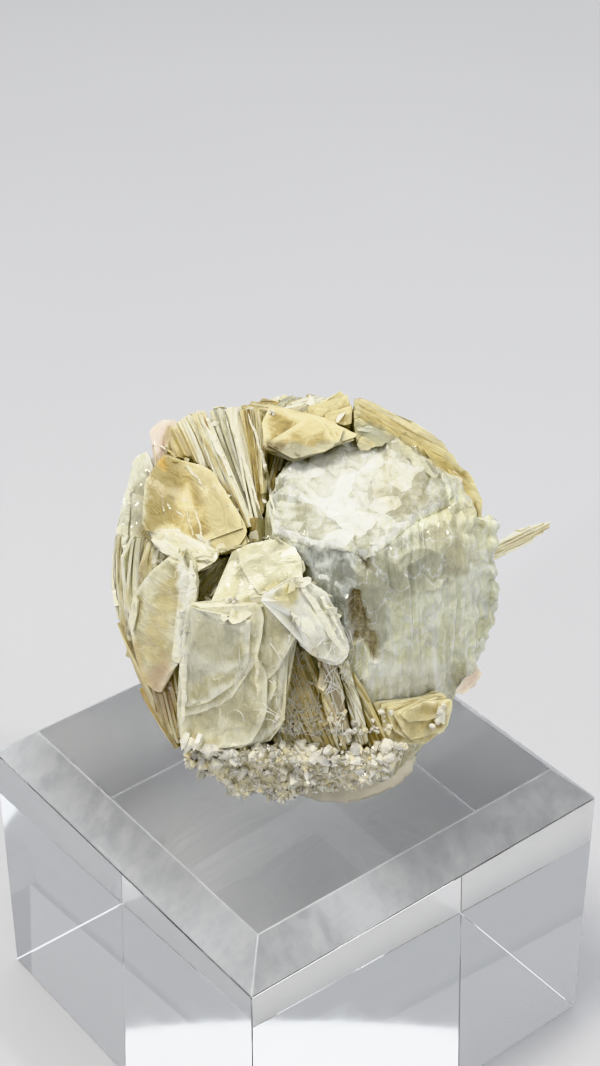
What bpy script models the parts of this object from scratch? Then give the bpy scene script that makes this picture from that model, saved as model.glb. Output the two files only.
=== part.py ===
"""Aquamarine on mica: a ball of mica books grown round one large, clear, etched aquamarine, with a crust of
small crystals under its front. A lump of mineral putty fixes it to a bevelled block of clear acrylic.

Metres, +Z up. The origin is the middle of the block's underside, and the display side faces -Y. The books of
the display side are drawn as they show from the usual viewing point, in millimetres right and up from the
middle of the ball, with a depth towards the viewer.
"""

import math
import random

import bmesh
import bpy
from mathutils import Matrix, Vector

MM = 0.001
GAP = 0.3 * MM

# The acrylic block
BLOCK_SIDE = 50 * MM
BLOCK_HEIGHT = 38 * MM
BLOCK_CHAMFER = 3.8 * MM
BLOCK_TURN = math.radians(38.5)

# The ball of mica, as an ellipsoid
BALL_MIDDLE = Vector((1.6, -2.3, 61.0)) * MM
BALL_HALF = Vector((20.2, 17.8, 22.8)) * MM
BALL_BOTTOM = 0.83
BALL_TOP = 0.95

# The books behind: wedges round a leaning axis, each from one angle to the next, at a share of the ball's size.
# The outside of each is in strips, like bundles of page edges.
BACK_AXIS_LEAN = (math.radians(-13), math.radians(-9))
STRIP_ANGLE = math.radians(8)
STRIP_STEP = 0.05
BACK_BOOKS = (
    (8, 52, 0.96), (52, 88, 1.0), (88, 137, 0.94), (137, 170, 1.0), (170, 222, 0.955), (222, 268, 1.0),
    (268, 312, 0.97), (312, 368, 0.9),
)

# The usual viewing point, in front of the display side and above it
EYE = Vector((1.0, -187.8, 195.0)) * MM
VIEW_PITCH = math.radians(34)
VIEW_RIGHT = Vector((1, 0, 0))
VIEW_AHEAD = Vector((0, math.cos(VIEW_PITCH), -math.sin(VIEW_PITCH)))
VIEW_UP = VIEW_RIGHT.cross(VIEW_AHEAD)
VIEW_DISTANCE = (BALL_MIDDLE - EYE).dot(VIEW_AHEAD)

# Depth, in mm towards the viewer, where the display side's books meet the books behind them
SEAT = 7.0
# The books at the rim narrow backwards, towards a place this many mm behind the ball's middle.
RIM_CENTRE = 25.0
GRID = 3.5

# The aquamarine: rings of its outline in mm, across and back from its axis, each at a height from its top face
CRYSTAL_TOP = (7.1, 12.3, 12.4)
CRYSTAL_TILT = math.radians(9)
CRYSTAL_TOP_RING = (
    (-8.6, 5.0), (-4.2, 7.0), (-0.4, 10.2), (1.7, 9.6), (7.6, 2.9), (8.4, -2.1),
    (5.0, -4.4), (0.9, -9.3), (-0.7, -10.6), (-2.4, -9.3), (-6.2, -9.1), (-10.1, -6.8), (-10.7, -2.3),
)
CRYSTAL_BODY_RING = (
    (-9.6, 5.6), (-5.0, 8.4), (-1.0, 10.9), (5.0, 10.0), (11.6, 5.0), (13.6, -0.6),
    (10.6, -6.4), (4.2, -10.4), (-0.7, -11.6), (-3.4, -10.6), (-7.0, -9.6), (-10.6, -7.0), (-11.4, -2.3),
)
# height below the top face, share of the body ring in the top ring, size, shift towards the front
CRYSTAL_LEVELS = (
    (0.0, 0.0, 1.0, 0.0),
    (2.6, 0.62, 0.98, 0.0),
    (6.5, 0.9, 0.99, 0.0),
    (12.0, 1.0, 1.0, 0.3),
    (15.5, 1.0, 1.03, 0.6),
    (20.0, 1.0, 0.98, 1.2),
    (23.0, 1.0, 0.92, 1.8),
    (24.6, 1.0, 0.84, 1.8),
)

# The books of the display side. Those listed first keep their shape, and the later ones are cut to fit round
# them. Each has its outline, its face (depth, slope to the right, slope upwards) and the depth of its back.
GOLD = (0.60, 0.47, 0.22)
PALE = (0.56, 0.52, 0.36)
CREAM = (0.80, 0.76, 0.58)
PINK = (0.74, 0.60, 0.52)
BOOKS = {
    "splinter": (
        ((16.0, 3.4), (19.6, 5.2), (20.9, 6.2), (23.4, 7.4), (23.6, 7.9), (26.6, 8.5), (26.6, 7.9),
         (24.5, 6.4), (21.2, 4.8), (19.8, 4.3), (16.3, 2.4)),
        (2.4, 0.0, 0.0), 1.4, CREAM),
    "leaf_book": (
        ((-13.0, 5.3), (-14.7, 4.4), (-17.0, 2.5), (-18.6, 0.3), (-19.0, -2.1), (-18.2, -5.6),
         (-17.4, -8.7), (-15.8, -9.8), (-13.7, -5.9), (-13.2, -2.8), (-12.4, -0.2), (-12.2, 2.3),
         (-12.4, 4.4)),
        (13.0, 0.9, 0.3), SEAT, GOLD),
    "draped_sheet": (
        ((-4.7, 0.3), (-1.1, 2.2), (0.0, 1.9), (2.3, 0.5), (3.3, -2.2), (4.5, -4.7), (4.5, -6.1),
         (3.3, -6.9), (1.4, -6.1), (-0.2, -4.7), (-1.0, -2.5), (-2.3, 0.0)),
        (18.2, -0.35, 0.25), SEAT, PALE),
    "front_plate": (
        ((-12.5, -0.9), (-11.2, -1.1), (-9.3, -2.6), (-7.1, -2.2), (-4.7, 0.2), (-2.3, 0.0),
         (-1.0, -2.5), (-1.6, -4.4), (-2.7, -7.1), (-3.1, -10.0), (-2.8, -13.0), (-3.8, -14.8),
         (-5.3, -15.5), (-10.2, -16.0), (-12.4, -15.8), (-13.3, -15.0), (-13.5, -12.1), (-13.3, -7.1)),
        (15.0, 0.2, 0.5), SEAT, PALE),
    "centre_plate": (
        ((-8.0, 5.2), (-2.7, 6.4), (-0.5, 5.7), (-0.5, 2.2), (-4.7, 0.2), (-7.1, -2.2), (-9.0, -2.4),
         (-9.9, 0.0), (-7.7, 3.1)),
        (18.3, 0.1, -0.25), SEAT, PALE),
    "ledge_flap": (
        ((-17.4, 7.7), (-14.4, 7.5), (-12.7, 6.6), (-11.1, 5.6), (-9.5, 5.1), (-10.9, 3.7),
         (-12.5, 3.1), (-13.2, 5.2), (-14.9, 5.2), (-16.3, 6.0)),
        (14.4, 0.4, -0.2), SEAT, CREAM),
    "golden_face_book": (
        ((-16.1, 14.8), (-15.3, 15.7), (-13.1, 14.9), (-10.6, 14.1), (-9.2, 11.9), (-7.3, 8.9),
         (-6.1, 6.4), (-9.5, 5.1), (-11.1, 5.6), (-12.7, 6.6), (-14.4, 7.5), (-17.4, 7.7),
         (-17.3, 10.3), (-17.1, 12.7)),
        (11.8, 0.15, -0.3), SEAT, GOLD),
    "hollow_book": (
        ((-11.9, 2.6), (-9.8, 4.6), (-7.6, 4.9), (-7.2, 2.6), (-9.4, 0.0), (-9.2, -2.4), (-12.0, -0.2)),
        (11.6, 0.1, 0.1), SEAT, GOLD),
    "fan_book_1": (
        ((-14.7, 18.7), (-13.5, 19.8), (-12.0, 20.5), (-9.9, 14.1), (-10.6, 13.8), (-15.5, 15.4)),
        (9.2, 0.1, -0.1), SEAT, GOLD),
    "fan_book_2": (
        ((-12.2, 20.5), (-10.7, 20.8), (-6.1, 7.8), (-6.8, 7.8), (-9.2, 11.9), (-9.9, 14.1)),
        (10.6, 0.2, -0.1), SEAT, CREAM),
    "fan_book_3": (
        ((-10.7, 20.6), (-9.2, 21.0), (-5.4, 7.8), (-6.1, 7.6)), (9.9, 0.0, -0.1), SEAT, PALE),
    "fan_book_4": (
        ((-9.2, 20.9), (-7.5, 21.0), (-4.7, 8.7), (-5.3, 7.8)), (10.8, 0.0, -0.1), SEAT, CREAM),
    "fan_book_5": (
        ((-7.5, 20.7), (-5.8, 20.9), (-4.2, 19.6), (-4.2, 10.9), (-4.7, 8.7)),
        (10.0, 0.0, -0.1), SEAT, GOLD),
    "gold_flake": (
        ((-6.0, 9.0), (-3.2, 9.2), (-3.4, 6.3), (-6.0, 6.3)), (12.2, 0.0, -0.2), SEAT, GOLD),
    "top_shelf": (
        ((-4.4, 19.4), (-3.6, 21.0), (-1.4, 20.3), (2.7, 19.5), (5.6, 18.1), (5.3, 17.8), (2.8, 17.0),
         (0.7, 16.1), (-1.4, 15.6), (-4.2, 16.6)),
        (11.0, -0.05, -0.3), SEAT, GOLD),
    "cavity_book": (
        ((-4.4, 16.8), (-1.6, 16.3), (-1.2, 15.5), (-2.3, 13.3), (-3.2, 9.5), (-4.2, 9.5)),
        (8.6, 0.1, 0.0), SEAT, GOLD),
    "peak_plate": (
        ((-1.2, 19.8), (1.6, 21.8), (3.3, 22.3), (3.8, 22.9), (4.5, 22.4), (5.0, 21.6), (5.3, 17.0),
         (-0.5, 17.0)),
        (8.2, 0.0, -0.2), 3.5, GOLD),
    "rim_book": (
        ((5.3, 22.0), (6.1, 22.1), (7.5, 21.5), (9.9, 20.2), (11.2, 19.8), (12.9, 19.1), (14.4, 17.9),
         (15.7, 16.3), (17.1, 14.6), (18.2, 13.0), (19.1, 11.1), (19.4, 8.6), (17.0, 6.5), (12.0, 12.0),
         (6.0, 16.0)),
        (6.6, -0.35, -0.1), 1.8, GOLD),
    "pink_flap_book": (
        ((-17.2, 18.4), (-15.7, 19.8), (-14.4, 19.8), (-12.0, 18.5), (-11.0, 14.0), (-16.3, 12.0),
         (-16.1, 15.7)),
        (6.1, 0.1, -0.1), 2.4, PINK),
    "left_wedge": (
        ((-12.5, -0.2), (-13.2, -2.8), (-13.7, -5.9), (-15.8, -9.8), (-16.9, -8.3), (-16.7, -11.4),
         (-15.1, -14.7), (-13.4, -15.8), (-13.5, -12.1), (-13.3, -7.1), (-12.6, -1.3)),
        (9.4, 0.7, 0.5), 2.5, GOLD),
    "left_blade_1": (
        ((-17.4, 16.2), (-18.5, 15.7), (-19.1, 14.6), (-19.5, 11.9), (-19.9, 8.9), (-20.7, 7.5),
         (-19.3, 5.0), (-15.0, 5.0), (-15.0, 10.0), (-17.1, 11.9), (-17.5, 13.3)),
        (6.2, 0.25, -0.05), 2.6, CREAM),
    "left_blade_2": (
        ((-20.9, 7.3), (-21.1, 4.4), (-21.2, 1.9), (-20.7, -0.1), (-20.4, -2.1), (-19.0, -4.4),
         (-14.9, -3.2), (-14.9, 6.2)),
        (7.5, 0.55, 0.0), 1.7, CREAM),
    "left_blade_3": (
        ((-20.7, -0.1), (-20.4, -2.1), (-19.6, -4.6), (-18.4, -8.3), (-18.1, -9.6), (-17.0, -12.5),
         (-15.5, -14.5), (-14.2, -16.2), (-11.5, -14.0), (-13.5, -8.0), (-16.0, -3.0)),
        (6.0, 0.7, 0.4), 1.2, GOLD),
    "blade_1": (
        ((1.4, -6.1), (3.3, -6.9), (3.9, -9.8), (5.1, -15.3), (3.8, -16.6), (1.9, -10.9)),
        (12.0, 0.1, 0.5), SEAT, CREAM),
    "blade_2": (
        ((3.3, -6.9), (4.5, -6.1), (5.3, -9.8), (6.9, -15.3), (5.3, -16.1), (3.9, -9.8)),
        (11.4, 0.1, 0.5), SEAT, CREAM),
    "blade_3": (
        ((4.5, -6.1), (5.6, -7.4), (6.9, -10.9), (8.8, -15.8), (7.1, -16.3), (5.3, -9.8)),
        (10.4, 0.1, 0.5), SEAT, GOLD),
    "recess_book": (
        ((-2.4, -4.5), (0.6, -4.5), (3.4, -12.0), (2.6, -17.0), (-3.6, -16.0), (-2.6, -10.0)),
        (9.2, 0.0, 0.4), 3.5, GOLD),
    "lower_right_book": (
        ((7.2, -9.8), (8.2, -11.5), (9.9, -12.4), (11.7, -12.2), (12.6, -11.3), (14.5, -10.8),
         (15.4, -10.6), (16.0, -11.4), (15.5, -13.6), (14.3, -15.0), (13.3, -16.0), (11.2, -15.5),
         (9.3, -15.8), (8.0, -12.5)),
        (8.2, -0.3, 0.5), 2.0, GOLD),
    "pink_flake": (
        ((18.4, -6.6), (19.3, -8.0), (18.6, -9.4), (17.1, -10.2), (14.6, -9.6), (14.8, -7.0)),
        (4.2, -0.3, 0.2), 1.2, PINK),
}
CRUST = (
    ((-12.6, -15.4), (-5.3, -15.7), (3.8, -16.6), (11.0, -15.6), (9.9, -16.8), (6.1, -18.8),
     (3.4, -20.3), (-1.5, -20.7), (-7.3, -20.1), (-11.0, -18.4), (-12.7, -17.2)),
    (7.6, 0.1, 1.1), 0.0, 3.6,
)
CRUST_STEP = 1.5
CRUST_CRYSTAL = 0.95
CRUST_ROOM = 1.2 * MM

# The putty, as a squashed ball on the block
PUTTY_MIDDLE = Vector((6.0, -2.6, 38.0)) * MM
PUTTY_HALF = Vector((8.2, 7.2, 6.0)) * MM


def seen(right, up, toward):
    """The point that shows so many mm right and up of the ball's middle, and lies so many mm nearer the eye."""
    flat = BALL_MIDDLE + (right * VIEW_RIGHT + up * VIEW_UP) * MM
    return EYE + (flat - EYE) * (1 - toward * MM / VIEW_DISTANCE)


def fresh_collection():
    for old in list(bpy.data.objects):
        bpy.data.objects.remove(old, do_unlink=True)
    collection = bpy.data.collections.new("aquamarine_on_mica")
    bpy.context.scene.collection.children.link(collection)
    return collection


def finish(name, colour, roughness=0.4, transmission=0.0):
    material = bpy.data.materials.new(name)
    material.use_nodes = True
    shader = material.node_tree.nodes["Principled BSDF"]
    shader.inputs["Base Color"].default_value = (*colour, 1)
    shader.inputs["Roughness"].default_value = roughness
    shader.inputs["Transmission Weight"].default_value = transmission
    return material


def add_object(name, bm, collection, material=None):
    bmesh.ops.recalc_face_normals(bm, faces=bm.faces[:])
    mesh = bpy.data.meshes.new(name)
    bm.to_mesh(mesh)
    bm.free()
    obj = bpy.data.objects.new(name, mesh)
    collection.objects.link(obj)
    if material:
        mesh.materials.append(material)
    return obj


def centroid(outline):
    area = right = up = 0.0
    for (x0, y0), (x1, y1) in zip(outline, outline[1:] + outline[:1]):
        cross = x0 * y1 - x1 * y0
        area += cross / 2
        right += (x0 + x1) * cross / 6
        up += (y0 + y1) * cross / 6
    return right / area, up / area


def face_depth(outline, face):
    """The depth of a flat face, as a function of the place right and up."""
    depth, right_slope, up_slope = face
    middle_right, middle_up = centroid(outline)
    return lambda right, up: depth + right_slope * (right - middle_right) + up_slope * (up - middle_up)


def cut_into_grid(bm):
    """Cuts a flat outline along a grid, so that its face has points to shape."""
    for axis in (0, 1):
        places = [v.co[axis] for v in bm.verts]
        normal = Vector((1, 0, 0)) if axis == 0 else Vector((0, 1, 0))
        for step in range(math.ceil(min(places) / GRID), math.ceil(max(places) / GRID)):
            bmesh.ops.bisect_plane(
                bm, geom=bm.verts[:] + bm.edges[:] + bm.faces[:], dist=1e-4,
                plane_co=normal * (step * GRID), plane_no=normal,
            )


def book_mesh(outline, face, back, thick=0.0):
    """A book of mica: its outline drawn in the view, run from its sloping face to its back.

    With a thickness it is a plate with its back parallel to its face.
    """
    bm = bmesh.new()
    bm.faces.new([bm.verts.new((right, up, 0)) for right, up in outline])
    cut_into_grid(bm)
    extruded = bmesh.ops.extrude_face_region(bm, geom=bm.faces[:], use_keep_orig=True)["geom"]
    fronts = [e for e in extruded if isinstance(e, bmesh.types.BMFace)]
    for vert in {v for f in fronts for v in f.verts}:
        vert.co.z = 1
    depth = face_depth(outline, face)
    for vert in bm.verts:
        right, up, layer = vert.co
        front = depth(right, up)
        if layer > 0.5:
            vert.co = seen(right, up, front)
        elif thick:
            vert.co = seen(right, up, front - thick)
        else:
            size = 1 if back >= SEAT else (back + RIM_CENTRE) / (front + RIM_CENTRE)
            vert.co = seen(right * size, up * size, back)
    return bm


def lofted(rings):
    """A closed solid through rings with the same number of points each."""
    bm = bmesh.new()
    rows = [[bm.verts.new(point) for point in ring] for ring in rings]
    for low, high in zip(rows, rows[1:]):
        for i, vert in enumerate(low):
            j = (i + 1) % len(low)
            bm.faces.new((vert, low[j], high[j], high[i]))
    bm.faces.new(rows[0])
    bm.faces.new(rows[-1])
    return bm


def aquamarine_mesh():
    """The etched six-sided prism, wider below its broken shoulder and rounded off at its foot."""
    top = seen(*CRYSTAL_TOP)
    axis = Vector((0, -math.sin(CRYSTAL_TILT), math.cos(CRYSTAL_TILT)))
    back = axis.cross(VIEW_RIGHT)
    rings = []
    for below, share, size, forward in CRYSTAL_LEVELS:
        ring = []
        for (x0, y0), (x1, y1) in zip(CRYSTAL_TOP_RING, CRYSTAL_BODY_RING):
            across = (x0 + (x1 - x0) * share) * size
            behind = (y0 + (y1 - y0) * share) * size - forward
            ring.append(top + (across * VIEW_RIGHT + behind * back - below * axis) * MM)
        rings.append(ring)
    return lofted(rings)


def back_book_mesh(start, end, share, seed):
    """A wedge of the ball between two planes through the leaning axis, with an outside of strips."""
    draw = random.Random(seed)
    lean = Matrix.Rotation(BACK_AXIS_LEAN[0], 3, "X") @ Matrix.Rotation(BACK_AXIS_LEAN[1], 3, "Y")
    wave = draw.uniform(0, math.tau)
    strips = max(3, round((end - start) / STRIP_ANGLE))
    middle = (start + end) / 2
    away = Vector((math.cos(middle), math.sin(middle), 0)) * (GAP / 2 / math.sin((end - start) / 2))
    reach = []
    for i in range(strips):
        size = share + draw.uniform(-STRIP_STEP, STRIP_STEP * (1 - share))
        for edge in (i, i + 1):
            reach.append((start + (end - start) * edge / strips, size))
    reach = spread(reach)
    rings = []
    levels = 9
    for level in range(levels):
        height = -BALL_BOTTOM + (BALL_TOP + BALL_BOTTOM) * level / (levels - 1)
        width = math.sqrt(1 - height * height) * (0.985 + 0.015 * math.sin(5 * height + wave))
        ring = [Vector((0, 0, height * BALL_HALF.z))]
        for angle, size in reach:
            ring.append(Vector((
                math.cos(angle) * BALL_HALF.x * width * size,
                math.sin(angle) * BALL_HALF.y * width * size,
                height * BALL_HALF.z,
            )))
        rings.append([BALL_MIDDLE + lean @ (away + point) for point in ring])
    bm = lofted(rings)
    return cut_off(bm, Vector((0, 0, BALL_MIDDLE.z - BALL_BOTTOM * BALL_HALF.z)), Vector((0, 0, -1)))


def spread(reach):
    """Parts the two ends of each step between strips, so that the step has a sloping wall."""
    parted = []
    for i, (angle, size) in enumerate(reach):
        inner = 0 < i < len(reach) - 1
        shift = (STRIP_ANGLE * 0.06 if i % 2 == 0 else -STRIP_ANGLE * 0.06) if inner else 0
        parted.append((angle + shift, size))
    return parted


def cut_off(bm, place, outwards):
    """Cuts the solid off flat at a plane, and closes it there."""
    cut = bmesh.ops.bisect_plane(
        bm, geom=bm.verts[:] + bm.edges[:] + bm.faces[:], dist=1e-7,
        plane_co=place, plane_no=outwards, clear_outer=True,
    )
    edges = [e for e in cut["geom_cut"] if isinstance(e, bmesh.types.BMEdge)]
    bmesh.ops.holes_fill(bm, edges=edges)
    return bm


def inside(outline, right, up):
    odd = False
    for (x0, y0), (x1, y1) in zip(outline, outline[1:] + outline[:1]):
        if (y0 > up) != (y1 > up) and right < x0 + (up - y0) * (x1 - x0) / (y1 - y0):
            odd = not odd
    return odd


def small_crystal(draw, radius):
    """A stubby six-sided crystal with a pointed end, standing on its foot at the origin."""
    bm = bmesh.new()
    length = radius * draw.uniform(1.6, 2.6)
    bmesh.ops.create_cone(bm, cap_ends=True, segments=6, radius1=radius, radius2=radius * 0.9, depth=length)
    top = max(bm.faces, key=lambda f: f.calc_center_median().z)
    point = bmesh.ops.poke(bm, faces=[top])["verts"][0]
    point.co.z += radius * draw.uniform(0.4, 0.8)
    return bm


def crust_object(collection, material):
    """The band of small crystals, joined into one solid with the ledge that they stand on."""
    outline, face = CRUST[:2]
    draw = random.Random(11)
    crust = add_object("crystal_crust", book_mesh(*CRUST), collection, material)
    depth = face_depth(outline, face)
    grains = bpy.data.collections.new("grains")
    bpy.context.scene.collection.children.link(grains)
    steps = range(-int(14 / CRUST_STEP), int(14 / CRUST_STEP) + 1)
    for i in steps:
        for j in range(7):
            right = (i + draw.uniform(-0.3, 0.3) + j % 2 / 2) * CRUST_STEP
            up = -15.6 - (j + draw.uniform(-0.3, 0.3)) * CRUST_STEP * 0.85
            under = 0.0
            if not inside(outline, right, up):
                up += CRUST_STEP * 0.85
                under = 1.8
            if not inside(outline, right, up):
                continue
            bm = small_crystal(draw, CRUST_CRYSTAL * MM * draw.uniform(0.75, 1.25))
            lean = Vector((draw.uniform(-0.7, 0.7), -1 + under / 2, draw.uniform(-1.2, 0.5) - under))
            turn = lean.to_track_quat("Z", "Y").to_matrix().to_4x4()
            spin = Matrix.Rotation(draw.uniform(0, math.pi), 4, "Z")
            place = Matrix.Translation(seen(right, up, depth(right, up) - 0.3 - under))
            bm.transform(place @ turn @ spin)
            add_object("grain", bm, grains)
    join = crust.modifiers.new("grains", "BOOLEAN")
    join.operation = "UNION"
    join.operand_type = "COLLECTION"
    join.collection = grains
    join.solver = "EXACT"
    join.use_self = True
    bake(crust)
    for grain in list(grains.objects):
        bpy.data.objects.remove(grain, do_unlink=True)
    bpy.data.collections.remove(grains)
    return crust


def putty_mesh():
    bm = bmesh.new()
    bmesh.ops.create_uvsphere(bm, u_segments=20, v_segments=12, radius=1)
    for vert in bm.verts:
        waver = 1 + 0.05 * math.sin(3 * math.atan2(vert.co.y, vert.co.x) + 1)
        vert.co = PUTTY_MIDDLE + Vector(a * b for a, b in zip(vert.co * waver, PUTTY_HALF))
    return cut_off(bm, Vector((0, 0, BLOCK_HEIGHT + GAP)), Vector((0, 0, -1)))


def block_mesh():
    """The clear block: square, with its four top edges chamfered, standing cornerwise to the display side."""
    bm = bmesh.new()
    bmesh.ops.create_cube(bm, size=1)
    bmesh.ops.scale(bm, vec=(BLOCK_SIDE, BLOCK_SIDE, BLOCK_HEIGHT), verts=bm.verts)
    top = [e for e in bm.edges if all(v.co.z > 0 for v in e.verts)]
    bmesh.ops.bevel(bm, geom=top, offset=BLOCK_CHAMFER, segments=1, affect="EDGES")
    turn = Matrix.Rotation(BLOCK_TURN, 4, "Z")
    bm.transform(Matrix.Translation((0, 0, BLOCK_HEIGHT / 2)) @ turn)
    return bm


def bake(obj):
    """Puts the modified shape in the object's mesh and keeps its largest body."""
    graph = bpy.context.evaluated_depsgraph_get()
    bm = bmesh.new()
    bm.from_mesh(obj.evaluated_get(graph).to_mesh())
    obj.modifiers.clear()
    bmesh.ops.remove_doubles(bm, verts=bm.verts[:], dist=2e-6)
    bodies = []
    left = set(bm.faces)
    while left:
        body = {left.pop()}
        edge_of_body = list(body)
        while edge_of_body:
            near = {f for e in edge_of_body.pop().edges for f in e.link_faces} & left
            body |= near
            left -= near
            edge_of_body += near
        bodies.append(body)
    bodies.sort(key=lambda body: sum(f.calc_area() for f in body))
    loose = [f for body in bodies[:-1] for f in body]
    bmesh.ops.delete(bm, geom=loose, context="FACES")
    bm.to_mesh(obj.data)
    bm.free()


def grown(obj, collection):
    """A larger copy of the object, to cut its neighbours with. The crust's is its ledge with room for the crystals."""
    bm = bmesh.new()
    room = GAP
    if obj.name == "crystal_crust":
        bm = book_mesh(*CRUST)
        room = CRUST_ROOM
    else:
        bm.from_mesh(obj.data)
    bmesh.ops.recalc_face_normals(bm, faces=bm.faces[:])
    moves = [(v, v.normal * room * min(v.calc_shell_factor(), 2.0)) for v in bm.verts]
    for vert, move in moves:
        vert.co += move
    cutter = add_object(obj.name + "_cutter", bm, collection)
    cutter.hide_render = True
    cutter.display_type = "WIRE"
    return cutter


def corners(obj):
    points = [obj.matrix_world @ v.co for v in obj.data.vertices]
    return [(min(p[i] for p in points), max(p[i] for p in points)) for i in range(3)]


def meet(one, other):
    return all(a[0] < b[1] and b[0] < a[1] for a, b in zip(corners(one), corners(other)))


def fit(pieces):
    """Cuts each piece to fit round all the pieces before it, with the gap between them."""
    cutters = bpy.data.collections.new("Cutters")
    bpy.context.scene.collection.children.link(cutters)
    made = []
    for piece in pieces:
        for cutter in made:
            if not meet(piece, cutter):
                continue
            cut = piece.modifiers.new(cutter.name, "BOOLEAN")
            cut.operation = "DIFFERENCE"
            cut.solver = "EXACT"
            cut.object = cutter
        made.append(grown(piece, cutters))
        if piece.modifiers:
            bake(piece)
    for cutter in made:
        bpy.data.objects.remove(cutter, do_unlink=True)
    bpy.data.collections.remove(cutters)


def main():
    parts = fresh_collection()
    crystal = finish("aquamarine", (0.80, 0.86, 0.82), roughness=0.08, transmission=0.9)
    pieces = [add_object("aquamarine", aquamarine_mesh(), parts, crystal)]
    for name, (outline, face, back, colour) in BOOKS.items():
        near = back + GAP / MM / 2 if back == SEAT else back
        mesh = book_mesh(outline, face, near)
        pieces.append(add_object(name, mesh, parts, finish(name, colour)))
    pieces.append(crust_object(parts, finish("crystal_crust", (0.82, 0.82, 0.78), 0.15)))
    for number, (start, end, share) in enumerate(BACK_BOOKS, 1):
        mesh = back_book_mesh(math.radians(start), math.radians(end), share, number)
        cut_off(mesh, seen(0, 0, SEAT) + VIEW_AHEAD * GAP, -VIEW_AHEAD)
        name = f"back_book_{number}"
        pieces.append(add_object(name, mesh, parts, finish(name, GOLD)))
    pieces.append(add_object("putty", putty_mesh(), parts, finish("putty", (0.62, 0.52, 0.38), 0.6)))
    fit(pieces)
    acrylic = finish("acrylic_block", (0.95, 0.96, 0.96), roughness=0.02, transmission=1.0)
    add_object("acrylic_block", block_mesh(), parts, acrylic)


main()
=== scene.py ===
"""Aquamarine on mica, dressed: each book of mica becomes a stack of ragged sheets, the aquamarine is clear and
etched, and the crust is of small clear crystals. The lump of putty and the clear block carry it.

Lengths in the tables are in millimetres; everything made is in metres.
"""

import math
import random

import bmesh
import bpy
import numpy as np
from mathutils import Matrix, Vector, noise
from mathutils.bvhtree import BVHTree
from mathutils.geometry import delaunay_2d_cdt


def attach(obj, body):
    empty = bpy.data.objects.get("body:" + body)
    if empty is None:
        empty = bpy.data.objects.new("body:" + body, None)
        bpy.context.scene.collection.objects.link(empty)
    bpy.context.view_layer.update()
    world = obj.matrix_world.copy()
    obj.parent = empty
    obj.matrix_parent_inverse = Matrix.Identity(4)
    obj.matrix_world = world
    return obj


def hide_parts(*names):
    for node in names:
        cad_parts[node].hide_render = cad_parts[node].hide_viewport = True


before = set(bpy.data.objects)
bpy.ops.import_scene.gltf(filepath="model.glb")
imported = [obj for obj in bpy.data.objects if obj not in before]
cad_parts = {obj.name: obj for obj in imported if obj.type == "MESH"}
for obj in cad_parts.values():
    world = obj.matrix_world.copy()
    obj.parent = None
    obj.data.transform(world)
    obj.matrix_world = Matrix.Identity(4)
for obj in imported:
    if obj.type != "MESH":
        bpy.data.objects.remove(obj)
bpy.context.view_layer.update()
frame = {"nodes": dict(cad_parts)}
noise.seed_set(5)  # or noise_vector would differ from run to run

MM = 0.001
BALL_MIDDLE = Vector((1.6, -2.3, 61.0)) * MM
EYE = Vector((1.0, -187.8, 195.0)) * MM
NOWHERE = Vector((0, 0, 0))
VIEW_PITCH = math.radians(34)
FOCAL_PIXELS = 2100
PHOTO_HEIGHT = 1066
VIEW_RIGHT = Vector((1, 0, 0))
VIEW_AHEAD = Vector((0, math.cos(VIEW_PITCH), -math.sin(VIEW_PITCH)))
VIEW_UP = VIEW_RIGHT.cross(VIEW_AHEAD)
VIEW_DISTANCE = (BALL_MIDDLE - EYE).dot(VIEW_AHEAD)
BACK_AXIS_LEAN = (math.radians(-13), math.radians(-9))


def seen(right, up, toward):
    """The point that shows so many mm right and up of the ball's middle, and lies so many mm nearer the eye."""
    flat = BALL_MIDDLE + (right * VIEW_RIGHT + up * VIEW_UP) * MM
    return EYE + (flat - EYE) * (1 - toward * MM / VIEW_DISTANCE)


def in_view(points):
    """The opposite of seen, for many points: how far right, up and near they show, in mm."""
    away = np.asarray(points) - np.array(EYE)
    share = (away @ np.array(VIEW_AHEAD)) / VIEW_DISTANCE
    flat = away / share[:, None] - np.array(BALL_MIDDLE - EYE)
    right, up = flat @ np.array(VIEW_RIGHT), flat @ np.array(VIEW_UP)
    return np.column_stack([right, up, (1 - share) * VIEW_DISTANCE]) / MM


def viewed(right, up, toward):
    """A direction given as right, up and towards the viewer."""
    return (right * VIEW_RIGHT + up * VIEW_UP - toward * VIEW_AHEAD).normalized()


# ---- node helpers


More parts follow.
